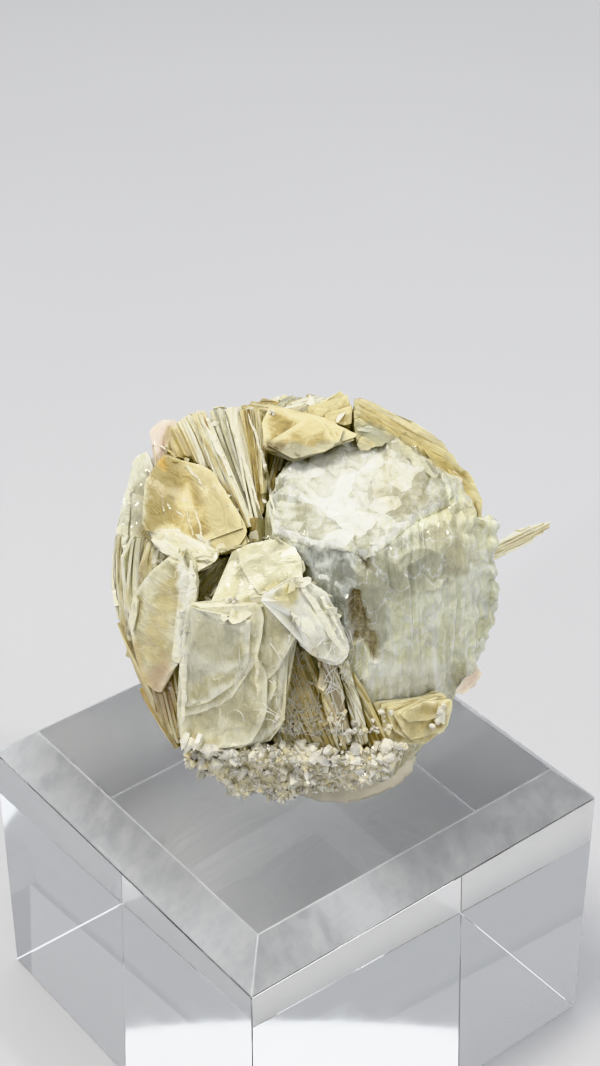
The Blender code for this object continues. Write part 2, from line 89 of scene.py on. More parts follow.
class Nodes:
    """Adds nodes to a material. Wherever a method takes a value, it may be another node's output."""

    def __init__(self, name):
        self.material = bpy.data.materials.new(name)
        self.material.use_nodes = True
        self.tree = self.material.node_tree
        self.shader = self.tree.nodes["Principled BSDF"]

    def fill(self, node, sockets):
        """Links each value to its socket, or sets it there if it is a number or a colour."""
        for socket, value in sockets.items():
            if isinstance(value, bpy.types.NodeSocket):
                self.tree.links.new(value, node.inputs[socket])
            else:
                node.inputs[socket].default_value = value
        return node.outputs

    def make(self, kind, sockets, out=0, **settings):
        node = self.tree.nodes.new("ShaderNode" + kind)
        for setting, value in settings.items():
            setattr(node, setting, value)
        return self.fill(node, sockets)[out]

    def attribute(self, name, out="Fac"):
        return self.make("Attribute", {}, out, attribute_name=name)

    def place(self):
        return self.make("TexCoord", {}, "Object")

    def scaled(self, vector, scale):
        return self.make("Mapping", {"Vector": vector, "Scale": scale})

    def noise(self, vector, scale, detail=3.0, rough=0.5, warp=0.0, out="Fac"):
        if isinstance(scale, tuple):
            vector, scale = self.scaled(vector, scale), 1.0
        sockets = {"Vector": vector, "Scale": scale, "Detail": detail, "Roughness": rough, "Distortion": warp}
        return self.make("TexNoise", sockets, out)

    def cells(self, vector, out, feature="F1"):
        return self.make("TexVoronoi", {"Vector": vector, "Scale": 1.0}, out, feature=feature)

    def vectors(self, operation, *values):
        return self.make("VectorMath", dict(enumerate(values)), operation=operation)

    def facets(self, vector):
        """Heights of flat faces about one unit wide, each with its own tilt."""
        cells = self.cells(vector, "Position").node.outputs
        side = self.vectors("SUBTRACT", vector, cells["Position"])
        tilt = self.vectors("SUBTRACT", cells["Color"], (0.5, 0.5, 0.5))
        return self.vectors("DOT_PRODUCT", side, tilt).node.outputs["Value"]

    def warped(self, vector, scale, amount):
        """The vector moved by up to about the amount, by noise."""
        return self.vectors("MULTIPLY_ADD", self.noise(vector, scale, out="Color"), (amount,) * 3, vector)

    def edges(self, vector, scale, amount):
        """The distance to the nearest border of warped cells about one unit wide."""
        return self.cells(self.warped(vector, scale, amount), "Distance", "DISTANCE_TO_EDGE")

    def ramp(self, value, *stops):
        node = self.make("ValToRGB", {"Fac": value}, "Color").node
        while len(node.color_ramp.elements) < len(stops):
            node.color_ramp.elements.new(0.5)
        for element, (at, colour) in zip(node.color_ramp.elements, stops):
            element.position = at
            element.color = (*colour, 1)
        return node.outputs["Color"]

    def between(self, value, low, high, to_low=0.0, to_high=1.0):
        """The value carried over from the range low to high to another range, and held inside it."""
        sockets = {"Value": value, "From Min": low, "From Max": high, "To Min": to_low, "To Max": to_high}
        return self.make("MapRange", sockets)

    def add(self, a, b):
        return self.make("Math", {0: a, 1: b}, operation="ADD")

    def times(self, a, b):
        return self.make("Math", {0: a, 1: b}, operation="MULTIPLY")

    def larger(self, a, b):
        return self.make("Math", {0: a, 1: b}, operation="MAXIMUM")

    def mix(self, share, a, b, blend="MIX"):
        a, b = ((*value, 1) if isinstance(value, tuple) else value for value in (a, b))
        return self.make("Mix", {0: share, 6: a, 7: b}, 2, data_type="RGBA", blend_type=blend)

    def bump(self, height, strength, distance, **normal):
        return self.make("Bump", {"Height": height, "Strength": strength, "Distance": distance, **normal})

    def finish(self, **sockets):
        self.fill(self.shader, {socket.replace("_", " "): value for socket, value in sockets.items()})
        return self.material


# ---- materials


def mica(name, deep, mid, edge, glow=0.22, pale=0.3, coat=0.8):
    """Mica in sheets: deep and mid colours on the page's middle, a pale edge, fine grain and page lines."""
    n = Nodes(name)
    grain = n.attribute("book", "Vector")
    rim = n.attribute("rim")
    tone = n.attribute("tone")
    page = n.attribute("page")
    cloud = n.noise(grain, 0.3, 4, 0.6, 0.5)
    streak = n.noise(grain, (0.26, 0.6, 0.5), 4, 0.6, 0.8)
    fine = n.noise(grain, (0.9, 4.0, 2.0), 3, 0.65)
    leaves = n.noise(grain, (0.06, 0.06, 8.0), 4, 0.75)
    body = n.ramp(n.add(n.times(cloud, 0.75), n.times(streak, 0.25)),
                  (0.32, deep), (0.48, mid), (0.68, edge))
    body = n.mix(n.between(tone, 0.0, 1.0, 0.0, pale), body, edge)
    crack = n.edges(n.scaled(grain, (0.22, 0.34, 0.3)), 1.4, 1.3)
    some = n.between(n.noise(grain, 0.5, 2), 0.5, 0.6)
    cracked = n.times(n.between(crack, 0.004, 0.03, 0.8, 0.0), some)
    body = n.mix(cracked, body, edge)
    edged = n.add(rim, n.times(n.noise(grain, 1.1, 4, 0.7), 1.0))
    body = n.mix(n.between(edged, 0.55, 1.2, 0.95, 0.0), body, edge)
    toned = n.add(n.times(tone, 0.7), n.times(leaves, 0.4))
    toned = n.add(toned, n.between(n.noise(grain, (0.3, 0.5, 0.5), 3), 0.3, 0.7, -0.25, 0.35))
    lines = n.ramp(toned, (0.18, deep), (0.42, mid), (0.78, edge))
    colour = n.mix(page, lines, body)
    # the zone colours: mostly colours of the mica, with painted shade in the cavity and painted light in the recess
    colour = n.mix(n.attribute("stained"), colour, (0, 0, 0))
    colour = n.mix(1.0, colour, n.attribute("stain", "Color"), "ADD")
    gloss = n.between(fine, 0.3, 0.7, 0.6 - coat * 0.575, 0.6 - coat * 0.275)
    rough = n.mix(page, (0.32, 0.32, 0.32), gloss)
    ripple = n.noise(grain, (0.3, 0.55, 0.4), 3, 0.5, 1.2)
    height = n.add(ripple, n.times(fine, 0.04))
    height = n.add(height, n.times(cracked, 0.1))
    normal = n.bump(height, 0.5, 0.0008)
    normal = n.bump(n.times(leaves, n.between(page, 0.0, 1.0, 1.0, 0.0)), 0.9, 0.0002, Normal=normal)
    n.shader.subsurface_method = "RANDOM_WALK"
    return n.finish(
        Base_Color=colour, Roughness=rough, Normal=normal, IOR=1.58,
        Subsurface_Weight=glow, Subsurface_Radius=(1.0, 0.9, 0.55), Subsurface_Scale=0.001,
        Coat_Weight=coat, Coat_Roughness=0.07, Coat_IOR=1.6,
    )


def aquamarine_look():
    """Clear, faintly green-grey, frosted in patches; golden, brown and blue-grey zones by attribute, with a painted
    shade zone and silvery zones of painted light and painted reflection.
    """
    n = Nodes("aquamarine")
    place = n.attribute("view", "Vector")
    upright = n.noise(place, (2.4, 0.16, 0.5), 5, 0.65, 0.3)
    patch = n.noise(n.scaled(place, (1.0, 0.6, 1.0)), 0.24, 4, 0.6, 0.6)
    flaw = n.noise(n.scaled(place, (0.8, 0.5, 0.8)), 0.68, 6, 0.66, 1.0)
    plate = n.warped(n.scaled(place, (0.36, 0.52, 0.4)), 0.8, 0.7)
    plates = n.facets(plate)
    shade = n.between(n.cells(plate, "Color"), 0.25, 0.75)
    chips = n.facets(n.warped(n.scaled(place, (1.1, 1.5, 1.2)), 0.8, 0.5))
    veil = n.edges(n.scaled(place, (0.3, 0.22, 0.3)), 1.5, 1.3)
    top = n.attribute("top")
    tint = n.ramp(patch, (0.36, (0.76, 0.74, 0.46)), (0.5, (0.87, 0.87, 0.62)), (0.64, (0.94, 0.94, 0.72)))
    tint = n.mix(n.between(upright, 0.48, 0.62, 0.0, 0.7), tint, (0.97, 0.97, 0.86))
    bright = n.add(n.times(shade, 0.5), n.between(flaw, 0.35, 0.65, 0.0, 0.5))
    # the top face's silvery colour: its own etching and frost, partly painted reflection
    silver_and_painted_light = n.ramp(bright, (0.15, (0.68, 0.66, 0.46)), (0.45, (0.82, 0.81, 0.65)), (0.8, (0.94, 0.93, 0.84)))
    tint = n.mix(top, tint, silver_and_painted_light)
    # painted light: paler and less clear in these zones, as a painted reflection on the top and to lift shade on the
    # lower body
    tint = n.mix(n.times(n.attribute("silver_and_painted_light"), 0.5), tint, (0.93, 0.93, 0.87))
    # painted shade: darker olive where shade falls under the top's edge
    tint = n.mix(n.attribute("painted_shade"), tint, (0.5, 0.49, 0.34))
    tint = n.mix(n.attribute("ridge"), tint, (0.94, 0.94, 0.87))
    tint = n.mix(n.between(veil, 0.005, 0.035, 0.6, 0.0), tint, (0.95, 0.96, 0.94))
    tint = n.mix(n.times(n.attribute("gold"), n.between(flaw, 0.35, 0.6, 0.6, 0.2)), tint,
                 (0.62, 0.56, 0.32))
    tint = n.mix(n.attribute("blue"), tint, n.ramp(flaw, (0.4, (0.5, 0.51, 0.43)), (0.6, (0.82, 0.84, 0.78))))
    speck = n.between(n.noise(place, 3.2, 3, 0.8), 0.44, 0.58)
    stained = n.times(n.attribute("brown"), n.between(flaw, 0.4, 0.6, 1.0, 0.65))
    tint = n.mix(stained, tint, n.mix(speck, (0.27, 0.19, 0.06), (0.66, 0.54, 0.27)))
    frost = n.between(patch, 0.38, 0.68, 0.1, 0.34)
    rough = n.mix(top, frost, n.between(flaw, 0.35, 0.65, 0.05, 0.2))
    clear = n.mix(top, n.between(flaw, 0.4, 0.6, 0.4, 0.12), n.between(bright, 0.1, 0.8, 0.55, 0.25))
    clear = n.times(clear, n.between(n.attribute("silver_and_painted_light"), 0.0, 1.0, 1.0, 0.65))
    lines = n.times(upright, n.between(top, 0.0, 1.0, 1.0, 0.1))
    height = n.add(lines, n.times(flaw, n.between(top, 0.0, 1.0, 0.3, 0.2)))
    glassy = n.larger(top, n.attribute("blue"))
    broken = n.add(n.times(plates, 2.4), n.times(chips, 0.6))
    height = n.add(height, n.times(broken, n.between(glassy, 0.0, 1.0, 0.25, 1.0)))
    normal = n.bump(height, 0.7, 0.0006)
    absorb = n.make("VolumeAbsorption", {"Color": (0.8, 0.9, 0.82, 1), "Density": 6.0})
    n.tree.links.new(absorb, n.tree.nodes["Material Output"].inputs["Volume"])
    n.shader.subsurface_method = "RANDOM_WALK"
    return n.finish(
        Base_Color=tint, Roughness=rough, Transmission_Weight=clear, Normal=normal, IOR=1.57,
        Subsurface_Weight=0.4, Subsurface_Radius=(1.0, 1.0, 0.85), Subsurface_Scale=0.002,
        Coat_Weight=0.7, Coat_Roughness=0.04, Coat_IOR=1.57,
    )


def crust_look():
    """Small clear crystals: each has its own tone; some are golden, a few are dark specks."""
    n = Nodes("crystal_crust")
    place = n.place()
    tone = n.attribute("tone")
    cloud = n.noise(place, 700, 3, 0.6)
    tint = n.ramp(tone, (0.0, (0.05, 0.045, 0.05)), (0.1, (0.05, 0.045, 0.05)), (0.11, (0.74, 0.6, 0.28)),
                  (0.35, (0.92, 0.83, 0.55)), (0.55, (0.98, 0.93, 0.76)), (1.0, (0.99, 0.96, 0.86)))
    tint = n.mix(n.between(cloud, 0.4, 0.65, 0.0, 0.6), tint, (0.86, 0.79, 0.56))
    rough = n.between(cloud, 0.3, 0.7, 0.05, 0.22)
    clear = n.times(n.between(tone, 0.2, 0.95), n.between(cloud, 0.35, 0.65, 0.6, 0.1))
    normal = n.bump(n.noise(place, 2500, 2), 0.3, 0.0001)
    return n.finish(
        Base_Color=tint, Roughness=rough, Transmission_Weight=clear, Normal=normal, IOR=1.55,
        Subsurface_Weight=0.35, Subsurface_Radius=(1.0, 0.95, 0.8), Subsurface_Scale=0.001,
        Coat_Weight=0.8, Coat_Roughness=0.04,
    )


def putty_look():
    n = Nodes("putty")
    place = n.place()
    cloud = n.noise(place, 120, 4)
    tint = n.ramp(cloud, (0.3, (0.74, 0.66, 0.5)), (0.6, (0.85, 0.79, 0.64)))
    dents = n.noise(place, 350, 3)
    grit = n.noise(place, 4000, 2)
    normal = n.bump(grit, 0.25, 0.00006, Normal=n.bump(dents, 0.5, 0.0008))
    return n.finish(
        Base_Color=tint, Roughness=n.between(cloud, 0.3, 0.7, 0.5, 0.68), Normal=normal,
        Subsurface_Weight=0.15, Subsurface_Radius=(1, 0.6, 0.4), Subsurface_Scale=0.0008,
    )


def acrylic_look():
    """Clear acrylic with faint fingermarks; the bevels are satin, with fine lines along them."""
    n = Nodes("clear_acrylic")
    place = n.place()
    satin = n.attribute("satin")
    marks = n.noise(place, 90, 4, 0.6)
    lines = n.noise(place, (500, 500, 60), 4, 0.7)
    rough = n.mix(satin, n.between(marks, 0.3, 0.7, 0.008, 0.035), n.between(lines, 0.35, 0.65, 0.28, 0.45))
    tint = n.mix(satin, (0.985, 0.992, 0.99), n.ramp(lines, (0.35, (0.8, 0.82, 0.83)), (0.65, (0.97, 0.97, 0.97))))
    normal = n.bump(n.times(lines, satin), 0.2, 0.0001)
    return n.finish(
        Base_Color=tint, Roughness=rough, Transmission_Weight=n.between(satin, 0.0, 1.0, 1.0, 0.72), Normal=normal,
        IOR=1.49,
    )


GOLD = mica("mica_gold", (0.19, 0.125, 0.028), (0.4, 0.3, 0.09), (0.78, 0.7, 0.43), glow=0.35, pale=0.2,
            coat=0.4)
HONEY = mica("mica_honey", (0.17, 0.11, 0.022), (0.36, 0.27, 0.075), (0.74, 0.66, 0.38), glow=0.25, pale=0.2,
             coat=0.06)
CREAM = mica("mica_cream", (0.34, 0.25, 0.085), (0.62, 0.53, 0.27), (0.91, 0.87, 0.67), glow=0.35, pale=0.45)
PALE = mica("mica_pale", (0.26, 0.215, 0.085), (0.47, 0.42, 0.215), (0.84, 0.8, 0.58), glow=0.35)
PINK = mica("mica_pink", (0.52, 0.34, 0.25), (0.68, 0.48, 0.37), (0.9, 0.78, 0.63))
SILVER = mica("mica_silver", (0.4, 0.36, 0.21), (0.66, 0.62, 0.42), (0.92, 0.9, 0.76), glow=0.4)
# painted light: mica for the hollow, the cavity and the recess, far lighter than it is, to lift the shade that falls
# there
LIT_HOLLOWS = mica("mica_hollows_painted_light", (0.8, 0.61, 0.25), (0.94, 0.8, 0.42), (0.96, 0.91, 0.66), glow=0.3)


# ---- sheets of mica


def read(mesh, value):
    values = np.empty(len(mesh.vertices) * 3)
    mesh.vertices.foreach_get(value, values)
    return values.reshape(-1, 3)


def solid_of(node):
    """(points, triangles) of a CAD node, with its double points made one."""
    mesh = frame["nodes"][node].data
    mesh.calc_loop_triangles()
    points = read(mesh, "co")
    faces = np.array([triangle.vertices for triangle in mesh.loop_triangles])
    _, first, index = np.unique(np.round(points / 2e-6), axis=0, return_index=True, return_inverse=True)
    return points[first], index.reshape(-1)[faces]


def loops_at(points, faces, place, normal):
    """The closed loops in which a plane cuts a solid."""
    height = (points - place) @ normal
    height[np.abs(height) < 1e-9] = 1e-9
    above = height > 0
    count = above[faces].sum(axis=1)
    onward = {}
    spots = {}
    for corners in faces[(count > 0) & (count < 3)].tolist():
        ends = [None, None]
        for i, j in zip(corners, corners[1:] + corners[:1]):
            if above[i] == above[j]:
                continue
            key = (min(i, j), max(i, j))
            ends[0 if above[i] else 1] = key
            spots[key] = points[i] + (points[j] - points[i]) * (height[i] / (height[i] - height[j]))
        onward[ends[0]] = ends[1]
    loops = []
    while onward:
        start, key = onward.popitem()
        loop = [spots[start]]
        while key != start and key in onward:
            loop.append(spots[key])
            key = onward.pop(key)
        loops.append(np.array(loop))
    return loops


def clipped(loop, place, normal):
    """The part of a loop on the side of a plane that its normal points away from."""
    if len(loop) < 3:
        return loop
    height = (loop - place) @ normal
    kept = []
    for i in range(len(loop)):
        j = (i + 1) % len(loop)
        if height[i] <= 0:
            kept.append(loop[i])
        if (height[i] <= 0) != (height[j] <= 0):
            kept.append(loop[i] + (loop[j] - loop[i]) * (height[i] / (height[i] - height[j])))
    return np.array(kept)


def area_of(flat):
    x, y = flat[:, 0], flat[:, 1]
    return 0.5 * float(np.sum(x * np.roll(y, -1) - np.roll(x, -1) * y))


def ragged(flat, spacing, tear, phase, over=0.05):
    """A flat loop in mm with a torn edge: resampled, worn back by up to about tear, and moved out by over."""
    if area_of(flat) < 0:
        flat = flat[::-1]
    torn = []
    for i in range(len(flat)):
        x0, y0 = flat[i]
        x1, y1 = flat[(i + 1) % len(flat)]
        length = math.hypot(x1 - x0, y1 - y0)
        if length < 1e-4:
            continue
        steps = max(1, round(length / spacing))
        for step in range(steps):
            x = x0 + (x1 - x0) * step / steps
            y = y0 + (y1 - y0) * step / steps
            wide = noise.noise((x * 0.35, y * 0.35, phase * 0.9))
            some = noise.noise((x * 1.1, y * 1.1, phase * 1.7))
            fine = noise.noise((x * 3.1, y * 3.1, phase * 3.1))
            back = tear * (max(0.0, wide * 1.8 + 0.1) + 0.7 * max(0.0, some) + 0.45 * abs(fine)) - over
            torn.append((x - (y1 - y0) / length * back, y + (x1 - x0) / length * back))
    return np.array(torn)


def gaps_to(flat, spots):
    """How far each spot lies from the nearest point of a flat loop."""
    return np.hypot(*(spots[:, None] - flat[None]).transpose(2, 0, 1)).min(axis=1)


def held_in(flat, x, y):
    """Whether each of the points x, y is inside a flat loop."""
    odd = np.zeros(len(x), bool)
    for (x0, y0), (x1, y1) in zip(flat, np.roll(flat, -1, axis=0)):
        if y0 == y1:
            continue
        odd ^= ((y0 > y) != (y1 > y)) & (x < x0 + (y - y0) * (x1 - x0) / (y1 - y0))
    return odd


# places with a colour of their own, and a few painted lighter or darker as painted shade and painted light, by the
# furthest
# depth in mm that they reach: colour, share, blur in mm, and outline in mm, right and up of the ball's middle as the
# eye sees it
STAINS_AND_PAINTED_LIGHT = {
    -4: (
        ((0.26, 0.2, 0.055), 0.88, 1.2, (-17.8, 12.3), (-15.3, 15.4), (-13.6, 15.2), (-14.5, 11.5), (-16.3, 7.4),
         (-18, 7.2)),
        ((0.48, 0.42, 0.22), 0.75, 0.5, (-12.5, 14.7), (-10.9, 14.1), (-8.7, 11.0), (-6.4, 6.6), (-6.9, 5.4),
         (-9.7, 5.1), (-10.0, 7.6), (-10.9, 11.0)),
        ((0.5, 0.38, 0.13), 0.7, 0.3, (-15.0, 18.8), (-12.8, 18.2), (-11.9, 15.7), (-14.0, 15.4), (-15.3, 16.3)),
        ((0.62, 0.36, 0.07), 0.8, 0.3, (-16.0, 15.3), (-15.4, 15.4), (-15.5, 14.6)),
        ((0.84, 0.8, 0.6), 0.6, 0.4, (-17.2, 7.6), (-13.1, 6.6), (-9.7, 4.7), (-10.9, 3.8), (-15.3, 5.1)),
        ((0.6, 0.59, 0.44), 0.6, 0.4, (-19.0, 15.4), (-17.5, 16.0), (-17.4, 11.6), (-18.0, 7.6), (-18.1, 3.2),
         (-19.3, 3.2), (-20.2, 7.6), (-19.8, 10.4)),
        ((0.47, 0.32, 0.09), 0.7, 0.8, (-18.7, -4.6), (-17.8, -7.8), (-16.9, -9.6), (-17.8, -10.9), (-18.4, -8.4)),
        ((0.5, 0.34, 0.2), 0.6, 0.8, (-16.9, -7.8), (-15.3, -6.2), (-14.4, -9.3), (-14.7, -12.5), (-16.2, -12.5)),
        ((0.55, 0.44, 0.18), 0.55, 0.8, (-17.2, -3.1), (-14.2, 3.2), (-13.9, 0.7), (-16.2, -6.2), (-17.5, -6.2)),
        ((0.92, 0.9, 0.76), 0.85, 0.25, (-13.7, 4.7), (-12.6, 3.2), (-12.6, 0.1), (-13.5, -5.0), (-14.0, -6.2),
         (-13.6, 0.1), (-13.9, 3.2)),
        ((0.52, 0.5, 0.36), 0.6, 0.8, (-13.1, -1.5), (-10.9, -0.9), (-7.8, -3.1), (-8.4, -6.2), (-12.5, -9.3)),
        ((0.52, 0.5, 0.34), 0.75, 0.8, (-7.8, 5.1), (-3.4, 6.3), (-0.3, 5.1), (0.0, 2.6), (-3.4, 1.9), (-6.5, 1.3)),
        ((0.68, 0.56, 0.2), 0.7, 0.3, (-4.2, 0.4), (-1.5, 1.8), (-0.5, 1.9), (-1.1, 0.1), (-1.5, -0.9)),
        ((0.22, 0.2, 0.13), 0.75, 0.3, (-2.8, -1.5), (-1.5, -1.8), (-0.6, -4.2), (-1.9, -3.4)),
        ((0.92, 0.89, 0.68), 0.75, 0.5, (-0.6, 2.6), (1.6, 1.3), (4.1, -3.1), (4.4, -5.9), (3.1, -6.5), (0.3, -5.0),
         (-0.6, -2.5)),
        ((0.3, 0.19, 0.06), 0.7, 0.3, (1.2, -6.3), (2.0, -6.6), (4.3, -11.0), (5.0, -14.6), (4.3, -14.6),
         (3.3, -11.0)),
        ((0.52, 0.4, 0.15), 0.7, 0.3, (5.9, -8.4), (6.9, -9.0), (8.6, -15.0), (7.6, -15.3)),
        ((0.46, 0.39, 0.18), 0.6, 0.6, (11.0, -11.8), (13.8, -11.8), (13.6, -15.2), (11.3, -15.2)),
    ),
    -16: (
        ((0.6, 0.47, 0.17), 0.7, 0.4, (6.3, 21.3), (9.7, 19.4), (14.1, 16.6), (17.5, 12.6), (18.8, 9.4),
         (17.2, 11.6), (13.5, 15.7), (9.1, 18.3), (6.6, 19.7)),
        # painted shade: the cavity wall under the shelf, darkened almost to black where shade falls
        ((0.13, 0.095, 0.03), 0.85, 0.4, (-4.2, 17.3), (-0.6, 17.0), (1.2, 16.2), (0.4, 15.3), (-1.9, 13.0),
         (-4.4, 13.5)),
        ((0.42, 0.4, 0.27), 0.8, 0.3, (-1.9, 17.2), (1.0, 16.6), (4.7, 17.5), (5.6, 17.2), (1.6, 14.7), (-1.5, 14.6),
         (-3.4, 15.7)),
        ((0.42, 0.41, 0.27), 0.8, 0.2, (4.7, 18.8), (7.0, 19.4), (9.4, 18.0), (13.1, 15.4), (15.3, 12.9),
         (14.5, 12.5), (11.6, 15.0), (7.8, 17.2)),
    ),
    -20: (
        # painted light: the recess, which lies in shade, lightened almost to white gold
        ((0.95, 0.78, 0.4), 0.8, 0.5, (-1.8, -6.5), (0.8, -6.0), (3.8, -14.8), (-2.2, -14.8)),
    ),
}


def stained(points):
    """The colour that the listed zones give each point, times its share, and the share. Most zones are colours of the
    mica; a few are painted shade and painted light.
    """
    view = in_view(points)
    wavy = 0.5 * noisy(view[:, 0] * 0.8, view[:, 1] * 0.8, 1, 1, 4)
    colours, shares = np.zeros((len(view), 3)), np.zeros(len(view))
    for deepest, stains in STAINS_AND_PAINTED_LIGHT.items():
        for colour, most, blur, *outline in stains:
            share = zone(outline, view[:, 0] + wavy, view[:, 1] - wavy, blur)[0] * most * (view[:, 2] > deepest)
            colours = colours * (1 - share)[:, None] + share[:, None] * colour
            shares = 1 - (1 - shares) * (1 - share)
    return colours, shares


class Book:
    """Collects the sheets of one book and the values that its material reads."""

    def __init__(self, page=(0, 0, 1), grain=(1, 0, 0)):
        self.turn(page, grain)
        self.points, self.places, self.rims = [], [], []
        self.faces, self.pages, self.tones = [], [], []

    def turn(self, page, grain):
        page, grain = Vector(page).normalized(), Vector(grain)
        along = (grain - grain.dot(page) * page).normalized()
        self.axes = np.array([along, page.cross(along), page])

    def flat(self, loop):
        return (np.asarray(loop) @ self.axes.T) / MM

    def sheet(self, flat, level, thick, tone, grid=0.0, bend=None, shift=0.0):
        """One closed sheet on a flat loop in mm, from its level down by its thickness."""
        inner = np.empty((0, 2))
        if grid:
            low, high = flat.min(axis=0), flat.max(axis=0)
            u, v = np.meshgrid(np.arange(low[0], high[0], grid), np.arange(low[1], high[1], grid))
            u = u + (np.arange(u.shape[0]) % 2)[:, None] * grid / 2
            u, v = u.ravel(), v.ravel()
            near = held_in(flat, u, v)
            inner = np.stack([u[near], v[near]], axis=1)
            if len(inner):
                inner = inner[gaps_to(flat, inner) > grid * 0.45]
        spots = [Vector(p) for p in flat] + [Vector(p) for p in inner]
        edges = [(i, (i + 1) % len(flat)) for i in range(len(flat))]
        spots, _, faces, _, _, _ = delaunay_2d_cdt(spots, edges, [], 1, 1e-5, False)
        if not faces:
            return
        spots = np.array([(p.x, p.y) for p in spots])
        gaps = gaps_to(flat, spots)
        count = {}
        for face in faces:
            for i, j in zip(face, face[1:] + face[:1]):
                key = (min(i, j), max(i, j))
                count[key] = None if key in count else (i, j)
        first = len(self.points)
        raised = np.zeros(len(spots)) if bend is None else bend(spots[:, 0], spots[:, 1], level)
        for depth in (0.0, thick):
            local = np.column_stack([spots, level - depth + raised])
            self.points.extend((local * MM) @ self.axes)
            self.places.extend(np.column_stack([spots + (shift, shift * 0.7), np.full(len(spots), level - depth)]))
            self.rims.extend(gaps)
        below = first + len(spots)
        for face in faces:
            self.faces.append([first + i for i in face])
            self.faces.append([below + i for i in reversed(face)])
            self.pages += [1.0, 1.0]
            self.tones += [tone, tone]
        for edge in count.values():
            if edge:
                i, j = edge
                self.faces.append([first + j, first + i, below + i, below + j])
                self.pages.append(0.0)
                self.tones.append(tone)

    def object(self, name, material):
        mesh = mesh_of(name, self.points, self.faces)
        colours, shares = stained(self.points)
        valued(mesh, stain=colours, stained=shares, book=self.places, rim=self.rims)
        valued(mesh, "FACE", page=self.pages, tone=self.tones)
        mesh.shade_smooth()
        mesh.set_sharp_from_angle(angle=math.radians(28))
        return shown(name, mesh, material)


def waves(size, width, seed, creases=0.0, arc=0.0, middle=0.0):
    """A bend of a sheet: slow waves of so many mm over a width, sharp creases, and an arc of a radius in mm."""

    def bend(u, v, level):
        low = noisy(u, v, width, width, seed + level * 0.02)
        fine = noisy(u * 3, v * 3, width, width, seed + 7)
        fold = abs(noisy(u * 0.22, v * 0.55, 1, 1, seed + 20)) + 0.5 * abs(noisy(u * 0.7, v * 1.3, 1, 1, seed + 30))
        return size * (low + 0.35 * fine) - creases * fold - (arc and (u - middle) ** 2 / (2 * arc))

    return bend


def broken(flat, angle, share, draw):
    """A flat loop broken off along a curve, so that about a share of its reach in that direction is left."""
    radius = draw.uniform(5, 14)
    way = np.array([math.cos(angle), math.sin(angle)])
    along = flat @ way
    reach = along.min() + (along.max() - along.min()) * share
    middle = flat.mean(axis=0)
    heart = middle + way * (reach - middle @ way - radius)
    for turn in (-0.9, -0.55, -0.25, 0.0, 0.25, 0.55, 0.9):
        side = np.array([math.cos(angle + turn), math.sin(angle + turn)])
        flat = clipped(flat, heart + side * radius, side)
    return flat


def stack(book, solid, draw, thin, thick, tear, cuts=(), grid=0.0, top=0, steps=0.0, size=0.12, width=5.0,
          arc=0.0, tone=(0.0, 1.0), spacing=0.4, creases=0.0, over=0.05, skew=0.0, fray=0.0):
    """Fills a solid with sheets across the page direction. The top few have inner points, and may be torn off."""
    points, faces = book.flat(solid[0]), solid[1]
    middle = points.mean(axis=0)
    if arc:
        points[:, 2] += (points[:, 0] - middle[0]) ** 2 / (2 * arc)
    cuts = [(book.flat(place), book.axes @ np.array(normal)) for place, normal in cuts]
    heights = points[:, 2]
    near = np.ones(len(points), bool)
    for place, normal in cuts:
        near &= (points - place) @ normal < 4
    if near.any():
        heights = heights[near]
    level, lowest = heights.max() - 0.01, heights.min()
    bend = waves(size, width, draw.uniform(0, 99), creases, arc, middle[0])
    tear_way = draw.uniform(0, math.tau)
    lean = np.zeros(2)
    up = np.array([0.0, 0.0, 1.0])
    number = 0
    while level > lowest + 0.05:
        depth = min(draw.uniform(thin, thick), level - lowest)
        lean = lean * 0.7 + np.array([draw.gauss(0, skew), draw.gauss(0, skew)])
        frayed = [(spot + normal * draw.gauss(0.3, fray), normal) for spot, normal in cuts]
        for loop in loops_at(points, faces, up * (level - depth * 0.5), up):
            for spot, normal in frayed:
                loop = clipped(loop, spot, normal)
            if len(loop) < 3:
                continue
            flat = loop[:, :2]
            worn = tear * (0.45 + 1.05 * draw.random() ** 2)
            if number < top and steps:
                flat = broken(flat, tear_way, min(1.0, steps + (1 - steps) * number / top), draw)
                tear_way += draw.uniform(-1.5, 1.5)
                worn += tear
            if len(flat) < 3 or abs(area_of(flat)) < 0.35:
                continue
            flat = ragged(flat, spacing, worn, draw.uniform(0, 50), over if number < max(top, 1) else 0.05)
            if len(flat) < 3 or area_of(flat) < 0.3:
                continue

            def leant(u, v, at, lean=lean):
                return bend(u, v, at) + (u - middle[0]) * lean[0] + (v - middle[1]) * lean[1]

            book.sheet(flat, level, depth * draw.uniform(0.8, 0.93), draw.uniform(*tone),
                       grid if number < top else (arc and 1.2), leant, draw.uniform(0, 40))
        level -= depth
        number += 1


def normals_of(corners):
    """The normals of triangles, each as long as twice the triangle's area, and these lengths."""
    normals = np.cross(corners[:, 1] - corners[:, 0], corners[:, 2] - corners[:, 0])
    return normals, np.linalg.norm(normals, axis=1)


def front_of(solid):
    """The mean normal of the faces of a solid that look towards the eye."""
    normals, sizes = normals_of(solid[0][solid[1]])
    facing = -(normals @ np.array(VIEW_AHEAD)) / (sizes + 1e-15)
    return Vector(normals[facing > 0.45].sum(axis=0)).normalized()


def piece(obj, slot, *nodes):
    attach(obj, "root")
    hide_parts(*nodes)


FAN = dict(skew=0.025, size=0.25)
BLADE = dict(skew=0.03, arc=26.0)
